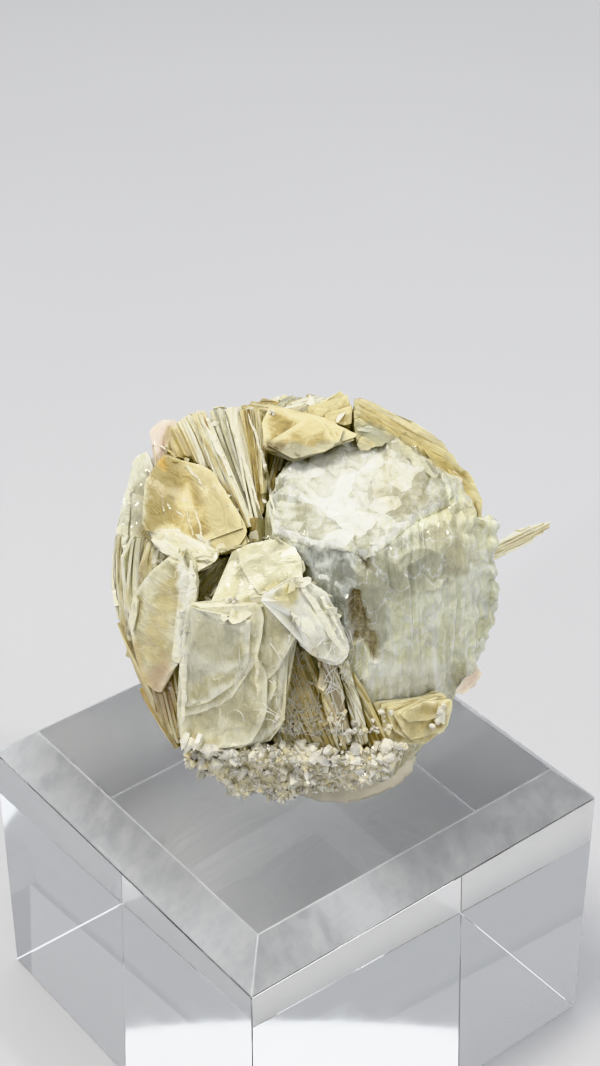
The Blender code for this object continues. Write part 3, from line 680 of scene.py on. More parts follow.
# node: material, record slot, page direction and grain in the view, sheet thickness, tear, then details
LOOKS = {
    "splinter": (CREAM, "mica_cream", (-0.43, 0.9, 0.3), (0.9, 0.43, 0), (0.12, 0.25), 0.12, {}),
    "leaf_book": (PALE, "mica_gold", None, (1, -0.1, 0), (0.2, 0.4), 0.3, dict(grid=0.45, top=5, steps=0.8, size=0.35,
        arc=16.0, over=0.4, creases=0.3, tone=(0.0, 0.6))),
    "draped_sheet": (SILVER, "mica_pale", None, (0.5, -0.85, 0), (0.15, 0.35), 0.4,
        dict(grid=0.45, top=6, steps=0.7, size=0.5, width=3.0, over=0.4, creases=0.7)),
    "front_plate": (PALE, "mica_pale", None, (0.1, 1, 0), (0.15, 0.35), 0.4,
        dict(grid=0.5, top=9, steps=0.55, size=0.5, width=6.0, over=0.5, creases=0.6)),
    "centre_plate": (PALE, "mica_pale", None, (0.8, 0.4, 0), (0.15, 0.32), 0.4,
        dict(grid=0.45, top=8, steps=0.5, size=0.3, width=4.0, over=0.5, creases=0.4)),
    "ledge_flap": (CREAM, "mica_cream", None, (0.9, -0.4, 0), (0.2, 0.4), 0.4,
        dict(grid=0.45, top=5, steps=0.7, size=0.5, width=3.0, over=0.4, creases=0.6)),
    "golden_face_book": (HONEY, "mica_gold", None, (-0.55, 0.83, 0), (0.15, 0.3), 0.3, dict(grid=0.45, top=3,
        steps=0.9, size=0.25, width=6.0, tone=(0.0, 0.5), over=0.4, creases=0.1)),
    "hollow_book": (LIT_HOLLOWS, "mica_gold", (0.5, -0.6, 0.6), (0.7, 0.7, 0), (0.2, 0.4), 0.6,
        dict(size=0.5, width=2.5, skew=0.05)),
    "fan_book_1": (CREAM, "mica_gold", (0.72, 0.4, 0.6), (0.45, -0.89, 0), (0.14, 0.7), 0.8,
        dict(skew=0.025, size=0.3)),
    "fan_book_2": (CREAM, "mica_cream", (0.85, 0.42, 0.45), (0.42, -0.9, 0), (0.12, 0.6), 0.8, FAN),
    "fan_book_3": (SILVER, "mica_pale", (0.9, 0.36, 0.4), (0.36, -0.93, 0), (0.1, 0.5), 0.8, FAN),
    "fan_book_4": (CREAM, "mica_cream", (0.93, 0.3, 0.35), (0.3, -0.95, 0), (0.1, 0.5), 0.8, FAN),
    "fan_book_5": (GOLD, "mica_gold", (0.93, 0.2, 0.45), (0.2, -0.97, 0), (0.12, 0.6), 0.8, FAN),
    "gold_flake": (GOLD, "mica_gold", (1, 0.05, 0.3), (0, 1, 0), (0.2, 0.4), 0.3, dict(tone=(0.0, 0.3))),
    "top_shelf": (HONEY, "mica_gold", None, (0.95, -0.25, 0), (0.15, 0.35), 0.35,
        dict(grid=0.5, top=5, steps=0.7, size=0.35, over=0.4, creases=0.4)),
    "cavity_book": (LIT_HOLLOWS, "mica_gold", (1, -0.2, 0.25), (0.2, 1, 0), (0.2, 0.45), 0.5, dict(tone=(0.0, 0.6))),
    "peak_plate": (HONEY, "mica_gold", None, (0.3, 1, 0), (0.2, 0.4), 0.35,
        dict(grid=0.5, top=5, steps=0.7, creases=0.3)),
    "pink_flap_book": (PINK, "mica_pink", None, (0.3, 1, 0), (0.2, 0.4), 0.25,
        dict(grid=0.5, top=5, steps=0.7, creases=0.3)),
    "left_wedge": (GOLD, "mica_gold", (0.9, -0.15, 0.7), (-0.15, -1, 0), (0.15, 0.8), 0.7,
        dict(arc=-24.0, skew=0.03, size=0.3)),
    "left_blade_1": (SILVER, "mica_cream", None, (0.1, 1, 0), (0.15, 0.35), 0.5,
        dict(grid=0.5, top=5, steps=0.6, size=0.4, over=0.3, creases=0.5)),
    "left_blade_2": (CREAM, "mica_cream", (0.9, 0, 0.7), (0, 1, 0), (0.15, 0.9), 0.8,
        dict(size=0.4, arc=-24.0, skew=0.03)),
    "left_blade_3": (GOLD, "mica_gold", (0.85, 0.35, 0.6), (0.35, -0.93, 0), (0.15, 0.8), 0.8,
        dict(size=0.4, arc=-30.0, skew=0.03)),
    "blade_1": (CREAM, "mica_cream", (0.95, 0.32, 0.3), (0.32, -0.95, 0), (0.12, 0.4), 0.6, BLADE),
    "blade_2": (CREAM, "mica_cream", (0.95, 0.3, 0.4), (0.3, -0.95, 0), (0.12, 0.4), 0.6, BLADE),
    "blade_3": (GOLD, "mica_gold", (0.93, 0.34, 0.35), (0.34, -0.93, 0), (0.12, 0.4), 0.6, BLADE),
    "recess_book": (LIT_HOLLOWS, "mica_gold", (0.9, 0.1, 0.5), (0.1, 1, 0), (0.2, 0.6), 0.7, dict(skew=0.03)),
    "lower_right_book": (GOLD, "mica_gold", None, (0.1, 1, 0), (0.2, 0.4), 0.4,
        dict(grid=0.45, top=6, steps=0.5, size=0.4, creases=0.6, over=0.3)),
    "rim_book": (GOLD, "mica_gold", None, (0.66, -0.75, 0), (0.15, 0.4), 0.35,
        dict(grid=0.5, top=6, steps=0.85, size=0.3, over=0.3, creases=0.3)),
    "pink_flake": (PINK, "mica_pink", (0, 0.1, 1), (0.6, 0.6, 0), (0.3, 0.6), 0.15, dict(grid=0.4, top=2)),
}


def display_books():
    for number, (node, (material, slot, page, grain, sheet, tear, more)) in enumerate(LOOKS.items()):
        solid = solid_of(node)
        book = Book(viewed(*page) if page else front_of(solid), viewed(*grain))
        stack(book, solid, random.Random(number + 40), *sheet, tear, **more)
        piece(book.object(node + "_sheets", material), slot, node)


def books_behind():
    """The books behind: each is broken across into bundles, whose pages stand at their own angles."""
    lean = Matrix.Rotation(BACK_AXIS_LEAN[0], 3, "X") @ Matrix.Rotation(BACK_AXIS_LEAN[1], 3, "Y")
    middles = (30, 70, 112, 153, 196, 245, 290, 340)
    for number, angle in enumerate(middles, 1):
        node = f"back_book_{number}"
        draw = random.Random(number + 300)
        solid = solid_of(node)
        book = Book()
        # it is broken across at the middle two heights, in mm above the ball's middle
        heights = [-30 + draw.uniform(-1, 1), -7 + draw.uniform(-4, 2), 9 + draw.uniform(-3, 3), 30]
        tilts = [Vector((draw.uniform(-0.35, 0.35), draw.uniform(-0.35, 0.35), 1)).normalized() for _ in heights]
        for k in range(3):
            cuts = [(BALL_MIDDLE + Vector((0, 0, heights[k])) * MM, -tilts[k]),
                    (BALL_MIDDLE + Vector((0, 0, heights[k + 1])) * MM, tilts[k + 1])]
            turn = math.radians(angle + 90 + draw.uniform(-18, 18))
            page = lean @ Vector((math.cos(turn), math.sin(turn), draw.uniform(-0.3, 0.3)))
            book.turn(page, lean @ Vector((0, 0, 1)))
            stack(book, solid, draw, 0.18, 0.7, 0.8, cuts, size=0.4, width=7.0, spacing=0.6, skew=0.025,
                  fray=1.6)
        material = (GOLD, CREAM, PALE)[number % 3]
        piece(book.object(node + "_sheets", material), "mica_gold", node)


# ---- surfaces and places


def refined(node, voxel, knobs=()):
    """A CAD node's solid, with round knobs added, as a fine and even mesh: itself, its points and its normals."""
    bm = bmesh.new()
    bm.from_mesh(frame["nodes"][node].data)
    for place, size in knobs:
        where = Matrix.Translation(place) @ Matrix.Diagonal((*(Vector(size) * MM), 1))
        bmesh.ops.create_icosphere(bm, subdivisions=3, radius=1.0, matrix=where)
    copy = linked("copy", freed(bm, "copy"))
    even = copy.modifiers.new("even", "REMESH")
    even.mode = "VOXEL"
    even.voxel_size = voxel * MM
    graph = bpy.context.evaluated_depsgraph_get()
    mesh = bpy.data.meshes.new_from_object(copy.evaluated_get(graph))
    mesh.materials.clear()
    bpy.data.objects.remove(copy)
    return mesh, read(mesh, "co"), read(mesh, "normal")


def push(mesh, points, normals, depth):
    """Moves the mesh's points out along their normals by so many mm each."""
    mesh.vertices.foreach_set("co", (points + normals * (depth * MM)[:, None]).ravel())


def valued(mesh, domain="POINT", **values):
    """Adds named values, numbers or triples, at the mesh's points or faces."""
    for name, value in values.items():
        value = np.array(value, np.float32)
        wide = value.ndim == 2
        made = mesh.attributes.new(name, "FLOAT_VECTOR" if wide else "FLOAT", domain)
        made.data.foreach_set("vector" if wide else "value", value.ravel())


def mesh_of(name, points, faces):
    mesh = bpy.data.meshes.new(name)
    mesh.from_pydata([tuple(p) for p in points], [], faces)
    return mesh


def linked(name, data):
    obj = bpy.data.objects.new(name, data)
    bpy.context.scene.collection.objects.link(obj)
    return obj


def shown(name, mesh, material):
    mesh.materials.append(material)
    return linked(name, mesh)


def freed(bm, name):
    """The mesh that a bmesh holds, which is then freed."""
    mesh = bpy.data.meshes.new(name)
    bm.to_mesh(mesh)
    bm.free()
    return mesh


def zone(outline, x, y, blur):
    """1 inside an outline of x, y places in mm, falling to 0 over the blur outside it."""
    inside = held_in(np.array(outline), x, y)
    gap = np.full(len(x), 1e9)
    for (x0, y0), (x1, y1) in zip(outline, outline[1:] + outline[:1]):
        share = ((x - x0) * (x1 - x0) + (y - y0) * (y1 - y0)) / ((x1 - x0) ** 2 + (y1 - y0) ** 2)
        share = np.clip(share, 0, 1)
        gap = np.minimum(gap, np.hypot(x - x0 - share * (x1 - x0), y - y0 - share * (y1 - y0)))
    return np.where(inside, 1.0, np.clip(1 - gap / blur, 0, 1)), gap


def noisy(x, y, wide, high, seed):
    return np.array([noise.noise((a / wide, b / high, seed)) for a, b in zip(x, y)])


def rough(points, size):
    return np.array([noise.noise(Vector(p) / (size * MM)) for p in points])


def broken_faces(x, y, size, seed, warp=0.5):
    """Heights of flat tilted faces of about a size, as on broken or etched crystal."""
    heights = []
    for a, b in zip(x, y):
        bent = noise.noise_vector((a * 0.35, b * 0.35, seed)) * warp
        spot = Vector((a / size + bent.x, b / size + bent.y, seed))
        heart = noise.voronoi(spot)[1][0]
        tilt = noise.cell_vector(heart * 7.13)
        side = spot - heart
        heights.append(tilt.z + 1.4 * (side.x * (tilt.x * 2 - 1) + side.y * (tilt.y * 2 - 1)))
    return np.array(heights)


def everything():
    """A tree of all CAD solids, to find the surface that a line of sight meets."""
    points, faces = [], []
    for node in frame["nodes"]:
        some, corners = solid_of(node)
        faces.extend((corners + len(points)).tolist())
        points.extend(some.tolist())
    return BVHTree.FromPolygons(points, faces)


SOLIDS = everything()


def met(right, up):
    """The place and normal of the surface that the eye sees at so many mm right and up."""
    spot, normal, _, _ = SOLIDS.ray_cast(EYE, (seen(right, up, 0) - EYE).normalized())
    return spot, normal


# ---- aquamarine

# outlines in mm, right and up of the ball's middle as the eye sees them
TOP_FACE = [(-1.5, 15.7), (2.8, 17.0), (6.6, 19.2), (8.8, 18.7), (14.7, 14.3), (15.5, 10.9), (12.1, 9.4), (8.0, 6.1),
            (6.4, 5.2), (4.7, 6.1), (0.9, 6.2), (-3.1, 7.7), (-3.6, 10.8)]
# name: how far waves move it right and up, the blur of its border, and its outlines
ZONES = {
    "gold": (2, -2, 1.2,
             [(15.3, 10.9), (19.0, 10.2), (19.4, 4.6), (16.0, 4.0), (14.0, 7.5)],
             [(6.6, 19.4), (10.0, 18.3), (13.4, 15.2), (14.8, 13.6), (9.0, 17.0)],
             [(9.0, 15.5), (12.0, 14.0), (13.0, 11.0), (10.0, 9.5), (7.5, 12.0)]),
    # painted light: a paler, less clear patch on the top's middle as a painted reflection, and one on the lower right
    # of the body, which faces down into shade
    "silver_and_painted_light": (2, -2, 0.8,
               [(1.0, 16.3), (4.7, 17.2), (8.1, 16.0), (8.8, 13.2), (6.6, 10.4), (3.5, 9.4), (1.0, 10.4)],
               [(8.0, -7.0), (14.5, -7.0), (14.5, -11.5), (9.5, -11.5)]),
    "blue": (1, -1, 0.6, [(-2.4, 5.3), (5.0, 5.6), (5.2, 1.0), (4.6, -4.8), (3.0, -5.0), (1.0, -1.5), (-0.5, 2.0)]),
    # painted shade: the body under the top face's lower edge, and a strip beside the brown crack, darkened where shade
    # falls
    "painted_shade": (2, -2, 0.8,
            [(5.6, 4.7), (8.1, 5.7), (11.9, 7.2), (15.6, 8.2), (17.2, 6.3), (16.9, 3.2), (14.1, 1.3), (10.3, 0.7),
             (6.6, 1.3)],
            [(5.6, 2.5), (7.5, 3.0), (8.5, -1.0), (8.6, -4.5), (7.9, -4.5), (6.7, -2.0), (5.5, 0.5)]),
    "brown": (1, 1, 0.3,
              [(5.0, 1.0), (5.6, 0.3), (6.6, -2.5), (7.8, -4.4), (7.9, -6.4), (7.2, -5.9), (6.6, -4.6), (5.2, -4.6),
               (4.8, -3.0), (4.7, -1.0)],
              [(5.8, 4.4), (7.3, 4.3), (7.0, 3.3), (6.1, 3.5)]),
}
# a round dent in the front: its middle, and half its width and height
LENS = ((12.7, 3.3), (2.7, 2.3))
# the knobs down the right edge: right, up and radius
KNOBS = ((19.7, 8.1, 1.15), (20.0, 6.5, 0.9), (20.0, 3.0, 0.8), (20.2, 1.2, 0.9), (20.1, -0.6, 0.8), (19.7, -2.2, 0.9),
         (19.2, -3.8, 0.7), (18.7, -4.9, 0.9), (18.0, -6.2, 0.7), (17.4, -7.2, 0.8))


def knobs():
    """The round knobs of clear crystal down the right edge."""
    found = []
    for right, up, size in KNOBS:
        while right > 10 and met(right, up)[0] is None:
            right -= 0.2
        found.append((met(right, up)[0] + viewed(1, 0, 0) * 0.2 * MM, (size, size * 0.9, size * 1.25)))
    return found


def aquamarine():
    mesh, points, normals = refined("aquamarine", voxel=0.27, knobs=knobs())
    view = in_view(points)
    x, y = view[:, 0], view[:, 1]
    facing = np.clip(-normals @ np.array(VIEW_AHEAD) * 3 + 1, 0, 1)
    wavy = 0.35 * noisy(x, y, 0.9, 0.9, 3)
    top, top_gap = zone(TOP_FACE, x + wavy, y + wavy, 0.25)
    zones = {}
    for name, (right, up, blur, *outlines) in ZONES.items():
        shares = [zone(outline, x + wavy * right, y + wavy * up, blur)[0] for outline in outlines]
        zones[name] = np.max(shares, axis=0)
    zones["painted_shade"] *= 0.85
    blue = zones["blue"]
    steps = 0.42 * broken_faces(x, y, 3.6, 5) + 0.16 * broken_faces(x, y, 1.4, 9) + 0.04 * noisy(x, y, 0.7, 0.7, 2)
    grooves = 0.32 * noisy(x, y, 0.55, 7, 1) + 0.45 * noisy(x, y, 1.7, 9, 4) + 0.1 * noisy(x, y, 0.8, 0.9, 8)
    glassy = 0.4 * broken_faces(x, y * 0.6, 2.2, 21, 0.4)
    cells = np.array([min(1.0, noise.voronoi((a / 1.5, b / 1.7, 2.0))[0][0]) for a, b in zip(x, y)])
    outer = np.clip((np.hypot(x + 1.0, y) - 18.4) / 1.5, 0, 1)
    far = np.hypot((x - LENS[0][0]) / LENS[1][0], (y - LENS[0][1]) / LENS[1][1])
    depth = np.where(top > 0.5, steps - 0.35, grooves - 0.1)
    depth = depth * (1 - blue) + (glassy - 0.3) * blue
    depth -= 0.45 * np.clip(1 - far ** 2, 0, 1) * (far < 1)
    depth += 0.15 * np.exp(-((far - 1.05) / 0.08) ** 2)
    front = (y < 11.5) & (x > -3.4)
    crinkle = np.clip(0.6 + 0.9 * noisy(x, y, 0.8, 0.8, 12), 0.1, 1)
    ridge = np.exp(-(top_gap / 0.24) ** 2) * front * crinkle
    depth += 0.3 * ridge - 0.28 * np.exp(-(top_gap / 0.22) ** 2) * (1 - front)
    depth -= 0.55 * np.exp(-np.abs(top_gap - 0.6) / 0.7) * (top < 0.5) * front
    depth -= 0.9 * zones["brown"]
    depth += outer * (0.35 - 0.9 * cells)
    push(mesh, points, normals, np.clip(depth * facing, -1.4, 0.25))
    view[:, 2] *= 0.5
    valued(mesh, view=view, top=top * facing, ridge=ridge, **zones)
    mesh.shade_smooth()
    mesh.set_sharp_from_angle(angle=math.radians(34))
    piece(shown("aquamarine_crystal", mesh, aquamarine_look()), "aquamarine", "aquamarine")


# ---- small things


def tube(first, rings):
    """The faces of a closed tube of four-cornered rings: its sides and then its two ends."""
    faces = []
    for a in range(first, first + 4 * (rings - 1)):
        b = a + 1 if (a - first) % 4 < 3 else a - 3
        faces.append([b, a, a + 4, b + 4])
    end = first + (rings - 1) * 4
    return faces + [[first, first + 1, first + 2, first + 3], [end + 3, end + 2, end + 1, end]]


def ribbon(book, path, wide, tone=1.0, lift=0.25, thick=0.14, rim=0.3):
    """A narrow strip of mica edge, or a pale strip painted as a glint, that lies along a path of right, up places on
    what the eye sees there.
    """
    spots = []
    phase = sum(path[0])
    for (x0, y0), (x1, y1) in zip(path, path[1:]):
        steps = max(1, round(math.hypot(x1 - x0, y1 - y0) / 0.35))
        for step in range(steps):
            x, y = x0 + (x1 - x0) * step / steps, y0 + (y1 - y0) * step / steps
            x += 0.25 * noise.noise((x * 0.9, y * 0.9, phase))
            spots.append((x, y))
    count = len(spots)
    first, rings, last = len(book.points), 0, None
    for number, (x, y) in enumerate(spots):
        narrowed = min(1.0, 0.25 + 3.0 * min(number, count - 1 - number) / count)
        width = wide * narrowed * (1 + 0.6 * noise.noise((x * 1.3, y * 1.3, phase + 5)))
        hit, _ = met(x, y)
        if not hit:
            continue
        near = in_view([hit])[0][2]
        last = near if last is None else last + max(-0.35, min(0.35, near - last))
        (x0, y0), (x1, y1) = spots[max(number - 1, 0)], spots[min(number + 1, count - 1)]
        way = Vector((x1 - x0, y1 - y0)).normalized()
        for side, deep in ((-0.5, 0), (0.5, 0), (0.5, 1), (-0.5, 1)):
            right, up = x - way.y * side * width, y + way.x * side * width
            book.points.append(seen(right, up, max(last, near - 0.2) + lift - deep * thick))
            book.places.append((right, up, deep * thick + phase))
            book.rims.append(rim)
        rings += 1
    faces = tube(first, rings)
    book.faces += faces
    book.pages += [1.0] * (len(faces) - 2) + [0.0] * 2
    book.tones += [tone] * len(faces)


# path, width and tone, then lift off the surface, thickness and rim
RIBBONS = [
    ([(-12.5, 4.4), (-12.3, 2.3), (-12.5, -0.2), (-13.2, -2.8), (-13.7, -5.9)], 0.9),
    ([(-12.7, -0.9), (-13.0, -4.4), (-13.3, -8.7), (-13.4, -14.2)], 0.6, 0.9),
    ([(-0.9, 2.0), (0.8, 0.0), (2.7, -3.5), (4.5, -6.1)], 0.8),
    ([(-0.3, 2.2), (1.9, 0.2), (3.6, -3.0), (4.9, -5.4)], 0.35),
    ([(3.9, -9.7), (4.1, -11.5)], 0.5),
    ([(5.3, -11.1), (6.1, -14.0)], 0.6),
    ([(4.2, -13.0), (4.3, -14.9)], 0.4),
    ([(-10.9, 0.5), (-9.4, -1.4), (-8.0, -2.9)], 0.8, 0.3, 1.6),
    ([(-10.3, 0.5), (-8.0, 3.1)], 0.45, 0.8, 1.8),
    ([(-10.1, 3.1), (-9.5, 3.0)], 0.3),
    ([(-17.4, 7.1), (-15.3, 5.7), (-12.5, 4.9), (-9.8, 4.4)], 0.9),
    ([(-12.2, 4.7), (-9.0, 5.6), (-5.6, 6.2), (-2.6, 6.3)], 0.4, 0.9),
    ([(5.6, 18.6), (7.0, 18.7), (9.2, 17.6), (12.0, 15.4), (14.6, 13.0)], 1.1, 0.3, 0.1),
    ([(-5.4, -5.4), (-5.2, -10.9)], 0.4, 0.2),
    ([(14.5, -11.5), (15.2, -13.8)], 0.8),
    ([(-4.4, 1.2), (-2.6, 1.7), (-0.7, 1.3)], 1.5, 0.0, 0.3, 0.14, 3.0),
    ([(-21.0, 3.0), (-20.6, -2.0), (-19.4, -6.5)], 0.4),
    ([(-18.9, 12.5), (-19.6, 6.5), (-19.8, 2.0)], 0.5),
    ([(-15.9, 17.0), (-13.2, 15.0), (-10.7, 12.0)], 0.35),
    ([(-6.2, 20.4), (-4.2, 14.0), (-3.4, 9.0)], 0.35),
    ([(-8.6, 20.8), (-6.2, 14.0), (-4.6, 8.6)], 0.3),
    ([(-11.4, 20.2), (-8.6, 14.6), (-5.9, 9.0)], 0.3),
    # painted highlights: these five thin pale strips on the golden face stand in for glints
    ([(-15.3, 10.8), (-14.9, 10.2), (-14.4, 9.5)], 0.25, 1.0, 0.1),
    ([(-14.1, 9.8), (-13.6, 9.4), (-13.1, 8.7)], 0.2, 1.0, 0.1),
    ([(-15.7, 11.4), (-15.6, 10.4), (-15.1, 9.0)], 0.15, 1.0, 0.1),
    ([(-13.5, 11.1), (-12.9, 10.9), (-12.5, 10.2)], 0.2, 1.0, 0.1),
    ([(-14.9, 11.6), (-14.2, 11.0), (-13.8, 10.3)], 0.12, 1.0, 0.1),
    ([(-12.0, 10.0), (-11.5, 8.0), (-11.2, 6.2)], 0.2, 0.2, 0.1, 0.14, 3.0),
    ([(-12.9, 9.6), (-12.4, 7.9), (-12.2, 6.6)], 0.2, 0.2, 0.1, 0.14, 3.0),
]


class Grains:
    """Collects small crystals, each a stubby six-sided prism with a point."""

    def __init__(self):
        self.points, self.faces, self.tones = [], [], []

    def crystal(self, place, way, radius, length, tone, draw):
        way = Vector(way).normalized()
        side = way.orthogonal().normalized()
        side.rotate(Matrix.Rotation(draw.uniform(0, 3), 3, way))
        other = way.cross(side)
        first = len(self.points)
        rings = ((-0.45, 0.8), (draw.uniform(0.1, 0.5), 1.0))
        spin = [draw.uniform(0.8, 1.2) for _ in range(6)]
        for height, wide in rings:
            for k in range(6):
                angle = k * math.pi / 3
                out = side * math.cos(angle) * spin[k] + other * math.sin(angle) * spin[k] * 0.8
                self.points.append(place + (way * height * length + out * wide * radius) * MM)
        tip = side * draw.uniform(-0.5, 0.5) + other * draw.uniform(-0.5, 0.5)
        self.points.append(place + (way * length + tip * radius) * MM)
        for k in range(6):
            j = (k + 1) % 6
            self.faces.append([first + k, first + j, first + 6 + j, first + 6 + k])
            self.faces.append([first + 6 + k, first + 6 + j, first + 12])
        self.faces.append([first + k for k in range(5, -1, -1)])
        self.tones += [tone] * 13

    def add(self, mesh, tone):
        first = len(self.points)
        self.points.extend(Vector(p) for p in read(mesh, "co"))
        self.faces.extend([first + i for i in face.vertices] for face in mesh.polygons)
        self.tones += [tone] * len(mesh.vertices)

    def object(self, name, material):
        mesh = mesh_of(name, self.points, self.faces)
        valued(mesh, tone=self.tones)
        return shown(name, mesh, material)


def spread_on(points, faces, count, draw):
    """Random places on triangles, each with the triangle's normal."""
    corners = points[faces]
    normals, sizes = normals_of(corners)
    for number in draw.choices(range(len(faces)), sizes.tolist(), k=count):
        a, b = draw.random(), draw.random()
        if a + b > 1:
            a, b = 1 - a, 1 - b
        one, two, three = corners[number]
        yield Vector(one + (two - one) * a + (three - one) * b), Vector(normals[number]).normalized()


def strayed(way, spread, draw):
    return way + Vector([draw.gauss(0, spread) for _ in range(3)])


def speckled(draw):
    """A tone: now and then a dark speck or a golden grain, mostly clear."""
    return draw.choices((0.03, draw.uniform(0.14, 0.4), draw.uniform(0.55, 1.0)), (0.04, 0.2, 0.76))[0]


SMALL_CRYSTALS, LARGE_CRYSTALS, RECESS_CRYSTALS = 2600, 34, 300
# right, up places of crystals that stand alone, their direction in the view, radius, length and tone
LONE_CRYSTALS = (
    (((-12.6, -15.6), (-12.0, -16.6), (-11.2, -17.1), (-10.6, -16.2), (-11.7, -15.2), (-13.1, -15.0)),
     (-0.35, -0.8, 0.3), 0.55, 1.4, 0.9),
    (((14.6, -12.1), (14.3, -13.1), (15.0, -11.5), (13.7, -13.6)), (0.3, -0.2, 0.9), 0.45, 0.7, 0.95),
)
# tufts of tiny crystals on the mica: right, up and how many are tried
TUFTS = ((-3.8, 21.0, 16), (-17.3, 17.6, 6), (-8.2, 0.4, 8), (-4.4, 7.0, 5))


def crust():
    draw = random.Random(71)
    grains = Grains()
    mesh, points, normals = refined("crystal_crust", voxel=0.5)
    push(mesh, points, normals, -(0.4 + 0.3 * rough(points, 0.9)))
    grains.add(mesh, 0.4)
    for place, normal in spread_on(*solid_of("crystal_crust"), SMALL_CRYSTALS, draw):
        size = draw.choice((0.14, 0.18, 0.24, 0.34, 0.55)) * draw.uniform(0.8, 1.2)
        way = strayed(normal, 0.6, draw)
        grains.crystal(place - normal * size * 0.7 * MM, way, size * 0.7, size * draw.uniform(0.8, 1.7),
                       speckled(draw), draw)
    for _ in range(LARGE_CRYSTALS):
        place, normal = met(draw.uniform(-12, 10), draw.uniform(-19.5, -15.8))
        if place and in_view([place])[0][1] > -21:
            size = draw.uniform(0.8, 1.15)
            way = strayed(normal, 0.4, draw)
            grains.crystal(place - normal * 0.3 * MM, way, size * 0.7, size * 1.2, draw.uniform(0.7, 1.0), draw)
    for places, way, *look in LONE_CRYSTALS:
        for right, up in places:
            place, _ = met(right, up)
            if place:
                grains.crystal(place, viewed(*way), *look, draw)
    for right, up, count in TUFTS:
        for _ in range(count):
            place, normal = met(right + draw.gauss(0, 0.35), up - abs(draw.gauss(0, 0.3)))
            if place:
                way = strayed(normal, 0.6, draw)
                grains.crystal(place - normal * 0.25 * MM, way, draw.uniform(0.1, 0.22), draw.uniform(0.3, 0.6), 0.62,
                               draw)
    for _ in range(RECESS_CRYSTALS):
        right = draw.uniform(-3.4, 9.5)
        up = -14.6 + 4.5 * draw.random() ** 2 + 0.066 * abs(right - 3)
        place, normal = met(right, up)
        if place and up < -14.6 + 4.0 * draw.random() ** 1.5:
            size = draw.uniform(0.2, 0.5)
            grains.crystal(place, strayed(normal, 0.5, draw), size * 0.8, size * 1.2, speckled(draw), draw)
    piece(grains.object("crust_crystals", crust_look()), "crystal_crust", "crystal_crust")


def at_a_seam(spot, way, owners):
    """Whether solids of more than one node lie close to a place on the surface."""
    side = way.orthogonal().normalized()
    other = way.cross(side)
    found = set()
    for move in (side, -side, other, -other):
        _, _, face, _ = SOLIDS.ray_cast(spot + way * (10 * MM) + move * 0.5 * MM, -way)
        found.add(None if face is None else owners[face])
    return len(found) > 1


SCALES_TRIED = 2600


def flakes():
    """Small loose scales of mica in the seams between the books, and narrow bright edges on them, a few of which are
    painted glints.
    """
    draw = random.Random(33)
    owners = [number for number, node in enumerate(frame["nodes"]) for _ in solid_of(node)[1]]
    book = Book()
    for _ in range(SCALES_TRIED):
        way = strayed(NOWHERE, 1, draw).normalized()
        spot, normal, _, _ = SOLIDS.ray_cast(BALL_MIDDLE + way * (50 * MM), -way)
        if not spot or way.z < -0.6:
            continue
        right, up, _ = in_view([spot])[0]
        if way.y < 0.3:  # none over the aquamarine
            if right > 4 and up < 12 or held_in(np.array(TOP_FACE), np.array([right]), np.array([up]))[0]:
                continue
        if not at_a_seam(spot, way, owners):
            continue
        page = strayed(normal, 0.45, draw).normalized()
        book.turn(page, strayed(NOWHERE, 1, draw))
        size = draw.choice((0.25, 0.35, 0.5, 0.9)) * draw.uniform(0.8, 1.2)
        u, v, level = book.flat(np.array(spot))
        turns = sorted(draw.uniform(0, math.tau) for _ in range(9))
        flat = [(u + size * math.cos(t) * draw.uniform(0.7, 1.1), v + 0.6 * size * math.sin(t)) for t in turns]
        flat = ragged(np.array(flat), 0.2, 0.15, draw.uniform(0, 50))
        if len(flat) > 2 and area_of(flat) > 0.05:
            book.sheet(flat, level + 0.06, draw.uniform(0.06, 0.12), draw.random(), 0, None, draw.uniform(0, 40))
    for path, *look in RIBBONS:
        ribbon(book, path, *look)
    piece(book.object("mica_flakes", CREAM), "mica_cream")


def hair_look():
    n = Nodes("hair")
    tint = n.ramp(n.noise(n.place(), 600, 2), (0.35, (0.62, 0.56, 0.38)), (0.6, (0.92, 0.91, 0.84)))
    return n.finish(Base_Color=tint, Roughness=0.35, Transmission_Weight=0.2, Coat_Weight=0.4)


RECESS_HAIRS, OTHER_HAIRS, HAIR_STEPS = 109, 16, 8


def hairs():
    """Fine white fibres that cross the dark recess, and a few on the plates beside it."""
    draw = random.Random(12)
    points, faces = [], []
    for number in range(RECESS_HAIRS + OTHER_HAIRS):
        right, up = draw.uniform(-2.8, 4.2), draw.uniform(-15.5, -5.2)
        if number >= RECESS_HAIRS:
            right, up = draw.uniform(-9, 6), draw.uniform(-14, -4)
        turn = draw.gauss(math.pi / 2, 0.7)
        length = draw.uniform(1.2, 4.5)
        curve = draw.gauss(0, 0.12)
        radius = draw.uniform(0.025, 0.05)
        first = len(points)
        rings = 0
        for step in range(HAIR_STEPS + 1):
            spot, _ = met(right, up)
            if not spot or in_view([spot])[0][1] < -19:
                break
            lift = (0.25 + 0.5 * math.sin(step / HAIR_STEPS * math.pi)) * MM
            core = spot - VIEW_AHEAD * lift
            for corner in range(4):
                angle = corner * math.pi / 2
                across = VIEW_RIGHT * math.cos(turn + math.pi / 2) + VIEW_UP * math.sin(turn + math.pi / 2)
                points.append(core + (across * math.cos(angle) - VIEW_AHEAD * math.sin(angle)) * radius * MM)
            rings += 1
            right += math.cos(turn) * length / HAIR_STEPS
            up += math.sin(turn) * length / HAIR_STEPS
            turn += curve
        if rings < 3:
            del points[first:]
            continue
        faces += [face[::-1] for face in tube(first, rings)]
    piece(shown("white_hairs", mesh_of("white_hairs", points, faces), hair_look()), "mica_pale")


# ---- putty and block


